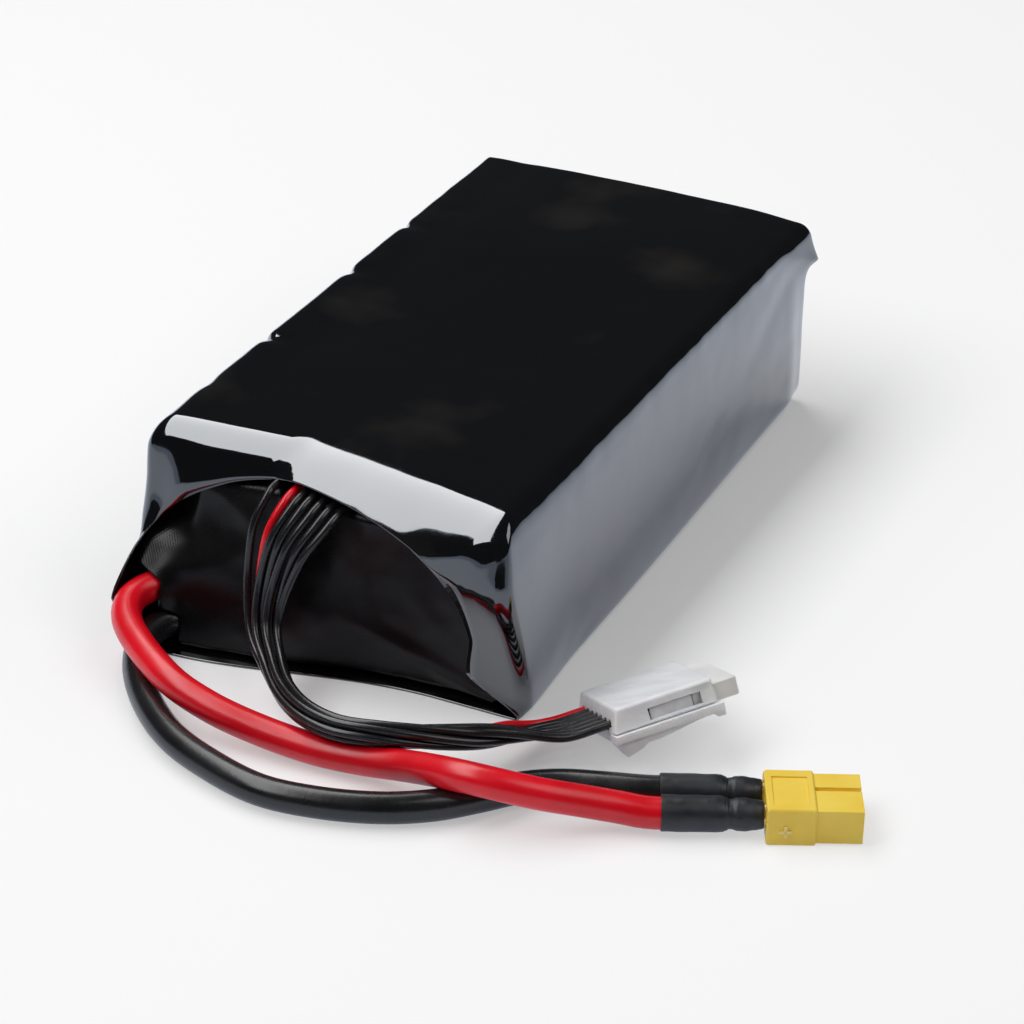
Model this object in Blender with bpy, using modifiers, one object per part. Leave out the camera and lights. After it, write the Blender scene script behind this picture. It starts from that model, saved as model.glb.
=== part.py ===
"""Six cell soft pouch battery pack in a heat shrunk film sleeve, with its leads, clip and connector.

Frame: metres, +Z up. The origin is on the table under the middle of the sleeve, +Y runs to the rear
and the leads leave the front end, at -Y.
"""
import math

import bmesh
import bpy
from mathutils import Vector

MM = 0.001

# Sleeve
PACK_WIDTH = 0.082
PACK_LENGTH = 0.155
PACK_HEIGHT = 0.045
SLEEVE_WALL = 0.0005
SLEEVE_CORNER_RADIUS = 0.005
SLEEVE_END_ROUND = 0.0035
END_ROUND_SHARE = 0.3
SMALLEST_CORNER = 0.0008
REAR_LIP_WIDTH = 0.011
CLEARANCE = 0.0003

# Front mouth of the sleeve, where the film arches over the end and flares round the leads
FRONT_BULGE = 0.0102
BULGE_TOP = 0.034
BULGE_FOOT = 0.003
BULGE_LEFT_MARGIN = 0.006
BULGE_RIGHT_MARGIN = 0.018
FRONT_TOP_ROUND = 0.0105
TOP_ROUND_START = 0.022
LIP_CROWN_DROP = 0.0042
LIP_CROWN_X = -0.0086
LIP_RIGHT_WIDTH = 0.0125
LIP_LEFT_WIDTH = 0.0005
LIP_VISOR = 0.002
LIP_VISOR_X = -0.005
LIP_VISOR_WIDTH = 0.013
LIP_FOOT_HEIGHT = 0.0012
ARCH_RISE = 0.6
ARCH_WIDTH_POWER = 1.29
ARCH_HEIGHT_POWER = 0.58
BEND_SHARE = 0.85
BEND_STEPS = 3
SILL_REACH = 0.0012
FLARE_WIDTH = 0.0058
FLARE_REACH = 0.0045
FLARE_RUN = 0.016
FLARE_INWARD = 0.014
FLARE_FADE_LOW = 0.012
FLARE_FADE_HIGH = 0.0285

# Stack inside the sleeve
CELL_COUNT = 6
PLATE_THICKNESS = 0.0015
PAD_THICKNESS = 0.0006
FRONT_BAY = 0.013
TERRACE_LENGTH = 0.005
TERRACE_THICKNESS = 0.0009
TERRACE_INSET = 0.003
CELL_EDGE_ROUND = 0.0012
TAB_WIDTH = 0.014
TAB_THICKNESS = 0.0005
TAB_REACH = 0.0035
TAB_OFFSET = 0.018
BOARD_THICKNESS = 0.0016
BOARD_WIDTH = 0.066
BOARD_MARGIN = 0.0035
REAR_COVER_THICKNESS = 0.001
FRONT_COVER_THICKNESS = 0.0008
FRONT_COVER_GAP = 0.0014
FRONT_COVER_LEFT = 0.0085
FRONT_COVER_RIGHT = 0.0045
FRONT_COVER_TOP = 0.0093

# Leads
LEAD_DIAMETER = 0.0063
BALANCE_DIAMETER = 0.0017
BALANCE_COUNT = CELL_COUNT + 1
EXIT_PITCH = 0.0023
EXIT_FIRST_STEP = 0.0022
EXIT_TILT = 0.19
BUNDLE_STEP = 0.00118
BUNDLE_RISE = 0.00098
CROSSOVER_BOW = 0.0020

# Main connector, 16 mm wide, lying flat on the table
CONNECTOR_X = 0.0993
CONNECTOR_Y = -0.0888
CONNECTOR_YAW = math.radians(25.3)
CONNECTOR_WIDTH = 0.016
CONNECTOR_HEIGHT = 0.0081
CONNECTOR_CHAMFER = 0.0023
HOUSING_ROUND = 0.0003
BLOCK_LENGTH = 0.0094
NOSE_LENGTH = 0.0089
NOSE_INSET = 0.00045
NOSE_GROOVE_WIDTH = 0.0012
NOSE_GROOVE_DEPTH = 0.0010
PANEL_LENGTH = 0.0068
PANEL_WIDTH = 0.0092
PANEL_DEPTH = 0.0003
POLE_PITCH = 0.0072
SOCKET_DIAMETER = 0.0046
SOCKET_BORE = 0.0035
SOCKET_DEPTH = 0.009
SOCKET_SETBACK = 0.0008
CUP_LENGTH = 0.006
CUP_BORE = 0.0034
CUP_FLOOR = 0.0005
TUBE_LENGTH = 0.0185
TUBE_WALL = 0.00022
TUBE_GAP = 0.00012
TUBE_NECK = 0.0078
TUBE_NECK_RADIUS = 0.00285
TUBE_BULGE_RADIUS = 0.0031
TUBE_LEAD_IN = 0.0015
TUBE_BULGE_END = 0.0043
TUBE_WAIST = 0.0062
TUBE_STEP_START = 0.0067
TUBE_STEP_RISE = 0.0002
TUBE_STEP_RUN = 0.0008

# Balance plug in its clip, leaning on the table
CLIP_X = 0.0612
CLIP_Y = -0.0823
CLIP_Z = 0.0064
CLIP_YAW = math.radians(48.0)
CLIP_PITCH = math.radians(7.7)
CLIP_ROLL = math.radians(21.2)
CLIP_WIDTH = 0.022
CLIP_LENGTH = 0.022
CLIP_FLANGE = 0.0008
COVER_HEIGHT = 0.005
COVER_WALL = 0.0009
COVER_ROOF = 0.0008
COVER_DRAFT = 0.001
COVER_END_SLOPE = 0.0015
COVER_END_WALL = 0.00126
COVER_ROUND = 0.0005
POCKET_DRAFT = 0.0004
POCKET_SLOPE = 0.0009
BASE_THICKNESS = 0.0016
BASE_RECESS = 0.0008
FOOT_LENGTH = 0.0062
FOOT_DEPTH = 0.0046
FOOT_WIDTH = 0.0034
NOSE_FOOT_LENGTH = 0.0022
NOSE_FOOT_DEPTH = 0.0026
LATCH_START = 0.0078
LATCH_LENGTH = 0.0112
LATCH_BOTTOM = 0.0008
LATCH_HEIGHT = 0.0024
HINGE_GAP = 0.00015
HINGE_OFFSET = 0.0004
HINGE_STRIP = 0.0005
PLUG_PITCH = 0.0025
PLUG_END_WALL = 0.002
PLUG_LENGTH = 0.0098
PLUG_START = 0.0175
PLUG_NOSE_LENGTH = 0.0055
PLUG_NOSE_INSET = 0.0004
PLUG_NOSE_ROUND = 0.0003
PLUG_SIDE_GAP = 0.0006
PLUG_CAVITY = 0.0018
CONTACT_WIDTH = 0.0013
CONTACT_LENGTH = 0.0085
NOTCH_GAP = 0.0002

# Routes chosen by hand, in millimetres. The main leads end at the connector, the bundle at the clip.
POSITIVE_ROUTE = [
    (-13.0, -71.0, 11.8), (-13.3, -74.4, 11.8), (-19.5, -77.7, 11.9), (-31.0, -78.3, 12.0),
    (-38.2, -82.3, 11.7), (-40.4, -89.5, 11.0), (-35.1, -97.9, 10.3), (-21.0, -107.8, 8.9),
    (-9.4, -110.2, 6.5), (1.7, -110.1, 4.1), (12.4, -109.4, 3.3), (21.0, -108.2, 3.3),
    (30.5, -107.4, 3.3), (38.5, -110.4, 6.8), (46.0, -112.9, 10.4), (55.0, -112.4, 10.0),
    (66.0, -107.9, 6.8), (74.5, -104.2, 4.8),
]
NEGATIVE_ROUTE = [
    (-13.0, -71.0, 4.9), (-13.3, -74.4, 4.9), (-19.5, -78.4, 4.7), (-31.0, -78.9, 4.5),
    (-37.3, -83.5, 4.3), (-38.8, -91.0, 4.1), (-34.5, -99.0, 3.4), (-25.0, -109.6, 3.3),
    (-13.6, -118.7, 3.3), (-1.3, -124.2, 3.3), (11.5, -127.3, 3.3), (23.7, -125.9, 3.3),
    (34.6, -122.2, 3.3), (43.0, -117.0, 3.3), (49.5, -110.5, 3.3), (55.5, -103.8, 3.3),
    (62.0, -99.6, 3.4), (70.0, -97.2, 3.8),
]
BUNDLE_ROUTE = [
    (-4.2, -70.6, 38.2), (-4.2, -75.5, 38.2), (-4.8, -80.5, 37.0), (-7.6, -84.8, 31.0), (-9.5, -86.8, 21.5),
    (-9.3, -89.0, 13.6), (-5.6, -92.6, 9.2), (7.2, -103.6, 8.4), (20.0, -109.8, 9.2),
    (31.4, -105.0, 10.4), (42.0, -96.8, 8.8), (49.6, -91.0, 7.5), (55.5, -86.4, 7.0),
]
# Route points between which the bundle gathers, turns over and spreads again at the plug
GATHER = (2, 5)
TURN = (9, 12)
SPREAD = (10, 12)

LEAD_STEP = 0.0045
BUNDLE_SAMPLES = 40
BODY_RINGS = 9
SIDE_SPANS = 6
FACE_SPANS = 11
ROUND_STEPS = 24
NOTCH_STEPS = 6

FILM_BLACK = (0.006, 0.006, 0.007, 1.0)
CLOTH_BLACK = (0.012, 0.012, 0.013, 1.0)
POUCH_SILVER = (0.55, 0.56, 0.58, 1.0)
PAD_WHITE = (0.75, 0.75, 0.72, 1.0)
PLATE_GREY = (0.08, 0.08, 0.085, 1.0)
BOARD_GREEN = (0.02, 0.10, 0.04, 1.0)
NICKEL = (0.62, 0.60, 0.56, 1.0)
GOLD = (0.85, 0.62, 0.25, 1.0)
LEAD_RED = (0.55, 0.005, 0.012, 1.0)
LEAD_BLACK = (0.010, 0.010, 0.011, 1.0)
TUBE_BLACK = (0.014, 0.015, 0.018, 1.0)
CONNECTOR_YELLOW = (0.83, 0.55, 0.06, 1.0)
PLUG_WHITE = (0.85, 0.85, 0.83, 1.0)
CLIP_CLEAR = (0.78, 0.82, 0.88, 1.0)

for leftover in list(bpy.data.objects):
    bpy.data.objects.remove(leftover, do_unlink=True)

PACK = bpy.data.collections.new("lipo_battery_pack")
CUTTERS = bpy.data.collections.new("cutters")
bpy.context.scene.collection.children.link(PACK)
bpy.context.scene.collection.children.link(CUTTERS)


def finish(name, colour, roughness, metallic=0.0):
    material = bpy.data.materials.new(name + "_finish")
    material.use_nodes = True
    shader = material.node_tree.nodes["Principled BSDF"]
    shader.inputs["Base Color"].default_value = colour
    shader.inputs["Roughness"].default_value = roughness
    shader.inputs["Metallic"].default_value = metallic
    return material


def place(obj, parent, collection):
    collection.objects.link(obj)
    if parent is not None:
        obj.parent = parent
    if collection is CUTTERS:
        obj.hide_render = True
        obj.display_type = "WIRE"
    return obj


def mesh_object(name, bm, parent=None, collection=PACK):
    bmesh.ops.recalc_face_normals(bm, faces=bm.faces)
    mesh = bpy.data.meshes.new(name)
    bm.to_mesh(mesh)
    bm.free()
    return place(bpy.data.objects.new(name, mesh), parent, collection)


def block(name, low, high, parent=None, collection=PACK):
    """A box between two corners."""
    bm = bmesh.new()
    bmesh.ops.create_cube(bm, size=1.0)
    low = Vector(low)
    high = Vector(high)
    for vert in bm.verts:
        vert.co = Vector([l + (c + 0.5) * (h - l) for l, h, c in zip(low, high, vert.co)])
    return mesh_object(name, bm, parent, collection)


def round_edges(obj, width, segments=2):
    bevel = obj.modifiers.new("round", "BEVEL")
    bevel.width = width
    bevel.segments = segments
    bevel.limit_method = "ANGLE"


def combine(obj, other, operation):
    boolean = obj.modifiers.new(operation.lower(), "BOOLEAN")
    boolean.operation = operation
    boolean.object = other


def outline_solid(name, outlines, thickness, parent=None, collection=PACK):
    """Flat closed outlines filled and extruded to a mesh, its middle on the outline's plane."""
    curve = bpy.data.curves.new(name, "CURVE")
    curve.dimensions = "2D"
    curve.fill_mode = "BOTH"
    curve.extrude = thickness / 2
    for points in outlines:
        spline = curve.splines.new("POLY")
        spline.points.add(len(points) - 1)
        for slot, (u, v) in zip(spline.points, points):
            slot.co = (u, v, 0.0, 1.0)
        spline.use_cyclic_u = True
    flat = bpy.data.objects.new(name + "_outline", curve)
    bpy.context.scene.collection.objects.link(flat)
    bpy.context.view_layer.update()
    mesh = bpy.data.meshes.new_from_object(flat.evaluated_get(bpy.context.evaluated_depsgraph_get()))
    bpy.data.objects.remove(flat, do_unlink=True)
    bm = bmesh.new()
    bm.from_mesh(mesh)
    bmesh.ops.remove_doubles(bm, verts=bm.verts, dist=1e-6)
    bpy.data.meshes.remove(mesh)
    return mesh_object(name, bm, parent, collection)


def turned(name, profile, parent):
    """A profile of (radius, height) pairs turned about its own Z axis."""
    bm = bmesh.new()
    verts = [bm.verts.new((r, 0.0, z)) for r, z in profile]
    for first, second in zip(verts, verts[1:]):
        bm.edges.new((first, second))
    if profile[0][0] > 0.0:
        bm.edges.new((verts[-1], verts[0]))
    mesh = bpy.data.meshes.new(name)
    bm.to_mesh(mesh)
    bm.free()
    obj = place(bpy.data.objects.new(name, mesh), parent, PACK)
    screw = obj.modifiers.new("turn", "SCREW")
    screw.steps = ROUND_STEPS
    screw.render_steps = ROUND_STEPS
    screw.use_merge_vertices = True
    screw.merge_threshold = 1e-6
    screw.use_smooth_shade = True
    return obj


def smooth_curve(points, step=None, count=None):
    """Points along a smooth curve through the route's own points."""
    dense = []
    marks = [0]
    padded = [points[0] * 2 - points[1]] + points + [points[-1] * 2 - points[-2]]
    for a, b, c, d in zip(padded, padded[1:], padded[2:], padded[3:]):
        for k in range(16):
            t = k / 16
            dense.append(0.5 * (2 * b + (c - a) * t + (2 * a - 5 * b + 4 * c - d) * t ** 2
                                + (3 * b - a - 3 * c + d) * t ** 3))
        marks.append(len(dense))
    dense.append(points[-1])
    lengths = [0.0]
    for first, second in zip(dense, dense[1:]):
        lengths.append(lengths[-1] + (second - first).length)
    count = count or max(2, round(lengths[-1] / step) + 1)
    samples = []
    index = 0
    for k in range(count):
        goal = lengths[-1] * k / (count - 1)
        while index < len(dense) - 2 and lengths[index + 1] < goal:
            index += 1
        span = lengths[index + 1] - lengths[index]
        samples.append(dense[index].lerp(dense[index + 1], (goal - lengths[index]) / span))
    shares = [lengths[m] / lengths[-1] for m in marks]
    return samples, shares


def tube(name, points, diameter, resolution):
    curve = bpy.data.curves.new(name, "CURVE")
    curve.dimensions = "3D"
    curve.bevel_depth = diameter / 2
    curve.bevel_resolution = resolution
    curve.use_fill_caps = True
    spline = curve.splines.new("POLY")
    spline.points.add(len(points) - 1)
    for slot, point in zip(spline.points, points):
        slot.co = (*point, 1.0)
    spline.use_smooth = True
    return place(bpy.data.objects.new(name, curve), None, PACK)


def ramp(value, start, end):
    """A smooth step from 0 at start to 1 at end."""
    t = min(1.0, max(0.0, (value - start) / (end - start)))
    return t * t * (3 - 2 * t)


# Shared places worked out from the sizes above
HALF_WIDTH = PACK_WIDTH / 2
FRONT = -PACK_LENGTH / 2
REAR = PACK_LENGTH / 2
INNER_LOW = SLEEVE_WALL + CLEARANCE
INNER_HIGH = PACK_HEIGHT - INNER_LOW
STACK_LOW = INNER_LOW + PLATE_THICKNESS + CLEARANCE
STACK_HIGH = INNER_HIGH - PLATE_THICKNESS - CLEARANCE
PAD_PITCH = PAD_THICKNESS + 2 * CLEARANCE
CELL_THICKNESS = (STACK_HIGH - STACK_LOW - (CELL_COUNT - 1) * PAD_PITCH) / CELL_COUNT
CORNER_DROP = SLEEVE_CORNER_RADIUS - STACK_LOW + CLEARANCE
CORNER_INNER = SLEEVE_CORNER_RADIUS - INNER_LOW
CORNER_REACH = math.sqrt(max(0.0, CORNER_INNER ** 2 - max(0.0, CORNER_DROP) ** 2))
CELL_HALF_WIDTH = HALF_WIDTH - SLEEVE_CORNER_RADIUS + CORNER_REACH
CELL_REAR = REAR - SLEEVE_WALL - REAR_COVER_THICKNESS - 2 * CLEARANCE
TERRACE_FRONT = FRONT + FRONT_BAY
CELL_FRONT = TERRACE_FRONT + TERRACE_LENGTH
LINK_FRONT = TERRACE_FRONT - CLEARANCE - TAB_REACH
BOARD_BACK = LINK_FRONT - CLEARANCE
BOARD_FRONT = BOARD_BACK - BOARD_THICKNESS
PLATE_HALF_WIDTH = HALF_WIDTH - SLEEVE_CORNER_RADIUS
PLATE_REAR = REAR - SLEEVE_END_ROUND - CLEARANCE


def front_face(x, z):
    """Y of the film's front face: it swells forward low down on the side where the leads leave."""
    side = 1.0 - ramp(x, -HALF_WIDTH + BULGE_LEFT_MARGIN, HALF_WIDTH - BULGE_RIGHT_MARGIN)
    height = 1.0 - ramp(z, BULGE_FOOT, BULGE_TOP)
    return FRONT - FRONT_BULGE * side * height


def section(inset, radius):
    """Rounded rectangle in X and Z, one list of points per ring, starting in the middle of the base."""
    half = HALF_WIDTH - inset
    low = inset
    high = PACK_HEIGHT - inset
    radius = max(radius - inset, SMALLEST_CORNER)
    corners = [(half - radius, low + radius, -90), (half - radius, high - radius, 0),
               (radius - half, high - radius, 90), (radius - half, low + radius, 180)]
    spans = [SIDE_SPANS, FACE_SPANS, SIDE_SPANS, FACE_SPANS]
    points = []
    for k, (cx, cz, start) in enumerate(corners):
        for step in range(4):
            angle = math.radians(start + 30 * step)
            points.append((cx + radius * math.cos(angle), cz + radius * math.sin(angle)))
        nx, nz, turn = corners[(k + 1) % 4]
        angle = math.radians(turn)
        after = (nx + radius * math.cos(angle), nz + radius * math.sin(angle))
        before = points[-1]
        for step in range(1, spans[k]):
            t = step / spans[k]
            points.append((before[0] + (after[0] - before[0]) * t, before[1] + (after[1] - before[1]) * t))
    return points


def flare(x, y, z):
    """How far the film is pushed out to the left round the leads."""
    along = 1.0 - ramp(y, FRONT - FRONT_BULGE, FRONT - FRONT_BULGE + FLARE_RUN)
    height = 1.0 - ramp(z, FLARE_FADE_LOW, FLARE_FADE_HIGH)
    side = 1.0 - ramp(x, -HALF_WIDTH, -HALF_WIDTH + FLARE_INWARD)
    return FLARE_WIDTH * along * height * side


def front_bend(x, z):
    """Radius of the film's bend over the front end: widest along the middle of the top."""
    middle = 1.0 - (abs(x) / HALF_WIDTH) ** 4
    high = ramp(z, TOP_ROUND_START, PACK_HEIGHT)
    return SLEEVE_END_ROUND + (FRONT_TOP_ROUND - SLEEVE_END_ROUND) * middle * high


def mouth_edge(x, z):
    """Edge of the front opening for a point of the full section: an uneven arch over the end face."""
    left = LIP_CROWN_X + HALF_WIDTH - LIP_LEFT_WIDTH
    right = HALF_WIDTH - LIP_RIGHT_WIDTH - LIP_CROWN_X
    crown = PACK_HEIGHT - LIP_CROWN_DROP - LIP_FOOT_HEIGHT
    angle = math.atan2(ARCH_RISE * z / PACK_HEIGHT, (x - LIP_CROWN_X) / HALF_WIDTH)
    reach = abs(math.cos(angle)) ** ARCH_WIDTH_POWER
    return (LIP_CROWN_X + (right if math.cos(angle) > 0.0 else -left) * reach,
            LIP_FOOT_HEIGHT + crown * math.sin(angle) ** ARCH_HEIGHT_POWER)


def front_film(x, z, share):
    """Point of the film in front of a point of the full section, from the bend's start, 0, to the edge, 1."""
    edge_x, edge_z = mouth_edge(x, z)
    bend = front_bend(x, z)
    width = math.hypot(edge_x - x, edge_z - z)
    turned_in = min(bend, BEND_SHARE * width)
    last_turn = math.acos(1.0 - turned_in / bend)
    turn = last_turn * min(1.0, share * (BEND_STEPS + 1) / BEND_STEPS)
    inward = width if share == 1.0 else bend * (1.0 - math.cos(turn))
    px = x + (edge_x - x) * inward / width
    pz = z + (edge_z - z) * inward / width
    setback = bend - math.sqrt(bend ** 2 - (bend - min(inward, bend)) ** 2)
    face = front_face(x, z)
    opened = flare(x, face, z) / FLARE_WIDTH
    sill = 1.0 - ramp(z, 0.0, SLEEVE_CORNER_RADIUS)
    visor = LIP_VISOR * share ** 2 * math.exp(-((px - LIP_VISOR_X) / LIP_VISOR_WIDTH) ** 2)
    visor *= ramp(z, TOP_ROUND_START, PACK_HEIGHT)
    bent = Vector((px, front_face(px, pz) + setback - visor, pz))
    ahead = face + bend - share * (bend + SILL_REACH)
    bent = bent.lerp(Vector((x - FLARE_WIDTH * opened, ahead, z)), sill)
    ahead = face + bend - share * (bend + FLARE_REACH)
    return bent.lerp(Vector((x - flare(x, ahead, z), ahead, z)), opened)


def shrink_sleeve():
    full = section(0.0, SLEEVE_CORNER_RADIUS)
    rings = []

    def straight_ring(inset, y):
        rings.append([(x, y, z) for x, z in section(inset, SLEEVE_CORNER_RADIUS)])

    straight_ring(REAR_LIP_WIDTH, REAR)
    straight_ring(SLEEVE_END_ROUND, REAR)
    straight_ring(SLEEVE_END_ROUND * END_ROUND_SHARE, REAR - SLEEVE_END_ROUND * END_ROUND_SHARE)
    straight_ring(0.0, REAR - SLEEVE_END_ROUND)
    start = REAR - SLEEVE_END_ROUND
    for k in range(1, BODY_RINGS):
        ring = []
        for x, z in full:
            end = front_face(x, z) + front_bend(x, z)
            y = start + (end - start) * k / BODY_RINGS
            ring.append((x - flare(x, y, z), y, z))
        rings.append(ring)
    for step in range(BEND_STEPS + 2):
        rings.append([front_film(x, z, step / (BEND_STEPS + 1)) for x, z in full])
    bm = bmesh.new()
    verts = [[bm.verts.new(p) for p in ring] for ring in rings]
    for first, second in zip(verts, verts[1:]):
        for k in range(len(first)):
            j = (k + 1) % len(first)
            bm.faces.new((first[k], first[j], second[j], second[k]))
    sleeve = mesh_object("shrink_sleeve", bm)
    skin = sleeve.modifiers.new("film", "SOLIDIFY")
    skin.thickness = SLEEVE_WALL
    skin.offset = -1.0
    sleeve.data.shade_smooth()
    sleeve.data.materials.append(finish("shrink_sleeve", FILM_BLACK, 0.12))


def front_cloth_cover():
    """Taped cloth face that closes the front bay behind the sleeve's mouth."""
    left = -HALF_WIDTH + FRONT_COVER_LEFT
    right = HALF_WIDTH - FRONT_COVER_RIGHT
    low = INNER_LOW + CLEARANCE
    high = PACK_HEIGHT - FRONT_COVER_TOP
    bm = bmesh.new()
    bmesh.ops.create_grid(bm, x_segments=12, y_segments=8, size=0.5)
    for vert in bm.verts:
        x = left + (vert.co.x + 0.5) * (right - left)
        z = low + (vert.co.y + 0.5) * (high - low)
        vert.co = (x, front_face(x, z) + SLEEVE_WALL + FRONT_COVER_GAP, z)
    cover = mesh_object("front_cloth_cover", bm)
    pad = cover.modifiers.new("cloth", "SOLIDIFY")
    pad.thickness = FRONT_COVER_THICKNESS
    pad.offset = 1.0 if cover.data.polygons[0].normal.y > 0 else -1.0
    cover.data.shade_smooth()
    cover.data.materials.append(finish("front_cloth_cover", CLOTH_BLACK, 0.6))


def plates():
    for name, low in (("bottom_plate", INNER_LOW), ("top_plate", INNER_HIGH - PLATE_THICKNESS)):
        plate = block(name, (-PLATE_HALF_WIDTH, CELL_FRONT, low),
                      (PLATE_HALF_WIDTH, PLATE_REAR, low + PLATE_THICKNESS))
        plate.data.materials.append(finish(name, PLATE_GREY, 0.7))
    inset = SLEEVE_END_ROUND + INNER_LOW
    rear = block("rear_end_cover", (inset - HALF_WIDTH, CELL_REAR + CLEARANCE, inset),
                 (HALF_WIDTH - inset, CELL_REAR + CLEARANCE + REAR_COVER_THICKNESS, PACK_HEIGHT - inset))
    rear.data.materials.append(finish("rear_end_cover", CLOTH_BLACK, 0.6))


def cell_base(index):
    return STACK_LOW + index * (CELL_THICKNESS + PAD_PITCH)


def cells():
    for index in range(CELL_COUNT):
        low = cell_base(index)
        middle = low + CELL_THICKNESS / 2
        name = f"cell_{index + 1}"
        cell = block(name, (-CELL_HALF_WIDTH, CELL_FRONT, low),
                     (CELL_HALF_WIDTH, CELL_REAR, low + CELL_THICKNESS))
        round_edges(cell, min(CELL_EDGE_ROUND, CELL_THICKNESS * 0.4))
        half = TERRACE_THICKNESS / 2
        wide = CELL_HALF_WIDTH - TERRACE_INSET
        terrace = block(name + "_terrace", (-wide, TERRACE_FRONT, middle - half),
                        (wide, CELL_FRONT + TERRACE_LENGTH, middle + half), collection=CUTTERS)
        combine(cell, terrace, "UNION")
        cell.data.materials.append(finish(name, POUCH_SILVER, 0.35, 0.8))
    for index in range(CELL_COUNT - 1):
        name = f"cell_pad_{index + 1}"
        low = cell_base(index) + CELL_THICKNESS + CLEARANCE
        pad = block(name, (-CELL_HALF_WIDTH, CELL_FRONT, low),
                    (CELL_HALF_WIDTH, CELL_REAR, low + PAD_THICKNESS))
        pad.data.materials.append(finish(name, PAD_WHITE, 0.8))


def strip(name, low, high, side):
    """A tab strip bent to a U between two cells, or with one leg when both heights are the same."""
    back = TERRACE_FRONT - CLEARANCE
    half = TAB_THICKNESS / 2
    if high > low:
        shape = [(back, low - half), (back, low + half), (LINK_FRONT + TAB_THICKNESS, low + half),
                 (LINK_FRONT + TAB_THICKNESS, high - half), (back, high - half), (back, high + half),
                 (LINK_FRONT, high + half), (LINK_FRONT, low - half)]
    else:
        top = low + CELL_THICKNESS / 2
        shape = [(back, low - half), (back, low + half), (LINK_FRONT + TAB_THICKNESS, low + half),
                 (LINK_FRONT + TAB_THICKNESS, top), (LINK_FRONT, top), (LINK_FRONT, low - half)]
    obj = outline_solid(name, [shape], TAB_WIDTH)
    obj.rotation_euler = (math.pi / 2, 0.0, math.pi / 2)
    obj.location.x = side * TAB_OFFSET
    obj.data.materials.append(finish(name, NICKEL, 0.3, 1.0))


def tabs_and_board():
    middle = [cell_base(k) + CELL_THICKNESS / 2 for k in range(CELL_COUNT)]
    for k in range(CELL_COUNT - 1):
        strip(f"series_link_{k + 1}", middle[k], middle[k + 1], 1 if k % 2 == 0 else -1)
    strip("pack_tab_negative", middle[0], middle[0], -1)
    strip("pack_tab_positive", middle[-1], middle[-1], -1 if CELL_COUNT % 2 == 0 else 1)
    board = block("tab_board", (-BOARD_WIDTH / 2, BOARD_FRONT, BOARD_MARGIN),
                  (BOARD_WIDTH / 2, BOARD_BACK, PACK_HEIGHT - BOARD_MARGIN))
    round_edges(board, BOARD_THICKNESS * 0.2, 1)
    board.data.materials.append(finish("tab_board", BOARD_GREEN, 0.4))


def empty(name, location, rotation):
    frame = bpy.data.objects.new(name, None)
    frame.location = location
    frame.rotation_euler = rotation
    PACK.objects.link(frame)
    bpy.context.view_layer.update()
    return frame


CONNECTOR_FRAME = empty("connector_frame", (CONNECTOR_X, CONNECTOR_Y, 0.0), (0.0, 0.0, CONNECTOR_YAW))
CLIP_FRAME = empty("clip_frame", (CLIP_X, CLIP_Y, CLIP_Z), (-CLIP_ROLL, -CLIP_PITCH, CLIP_YAW))
HINGE_Y = CLIP_WIDTH / 2 + HINGE_OFFSET
HINGE_FRAME = empty("hinge_frame", CLIP_FRAME.matrix_world @ Vector((0.0, HINGE_Y, 0.0)),
                    (-CLIP_ROLL, -CLIP_PITCH, CLIP_YAW))
POLE_HEIGHT = CONNECTOR_HEIGHT / 2
PLUG_LOW = CLEARANCE / 2 - BASE_RECESS
PLUG_HIGH = COVER_HEIGHT - COVER_ROOF - CLEARANCE / 2
PLUG_MIDDLE = (PLUG_LOW + PLUG_HIGH) / 2
PLUG_HALF_WIDTH = PLUG_PITCH * (BALANCE_COUNT - 1) / 2 + PLUG_END_WALL
COMB_HALF_WIDTH = PLUG_PITCH * (BALANCE_COUNT - 1) / 2 + BALANCE_DIAMETER / 2 + NOTCH_GAP


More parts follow.
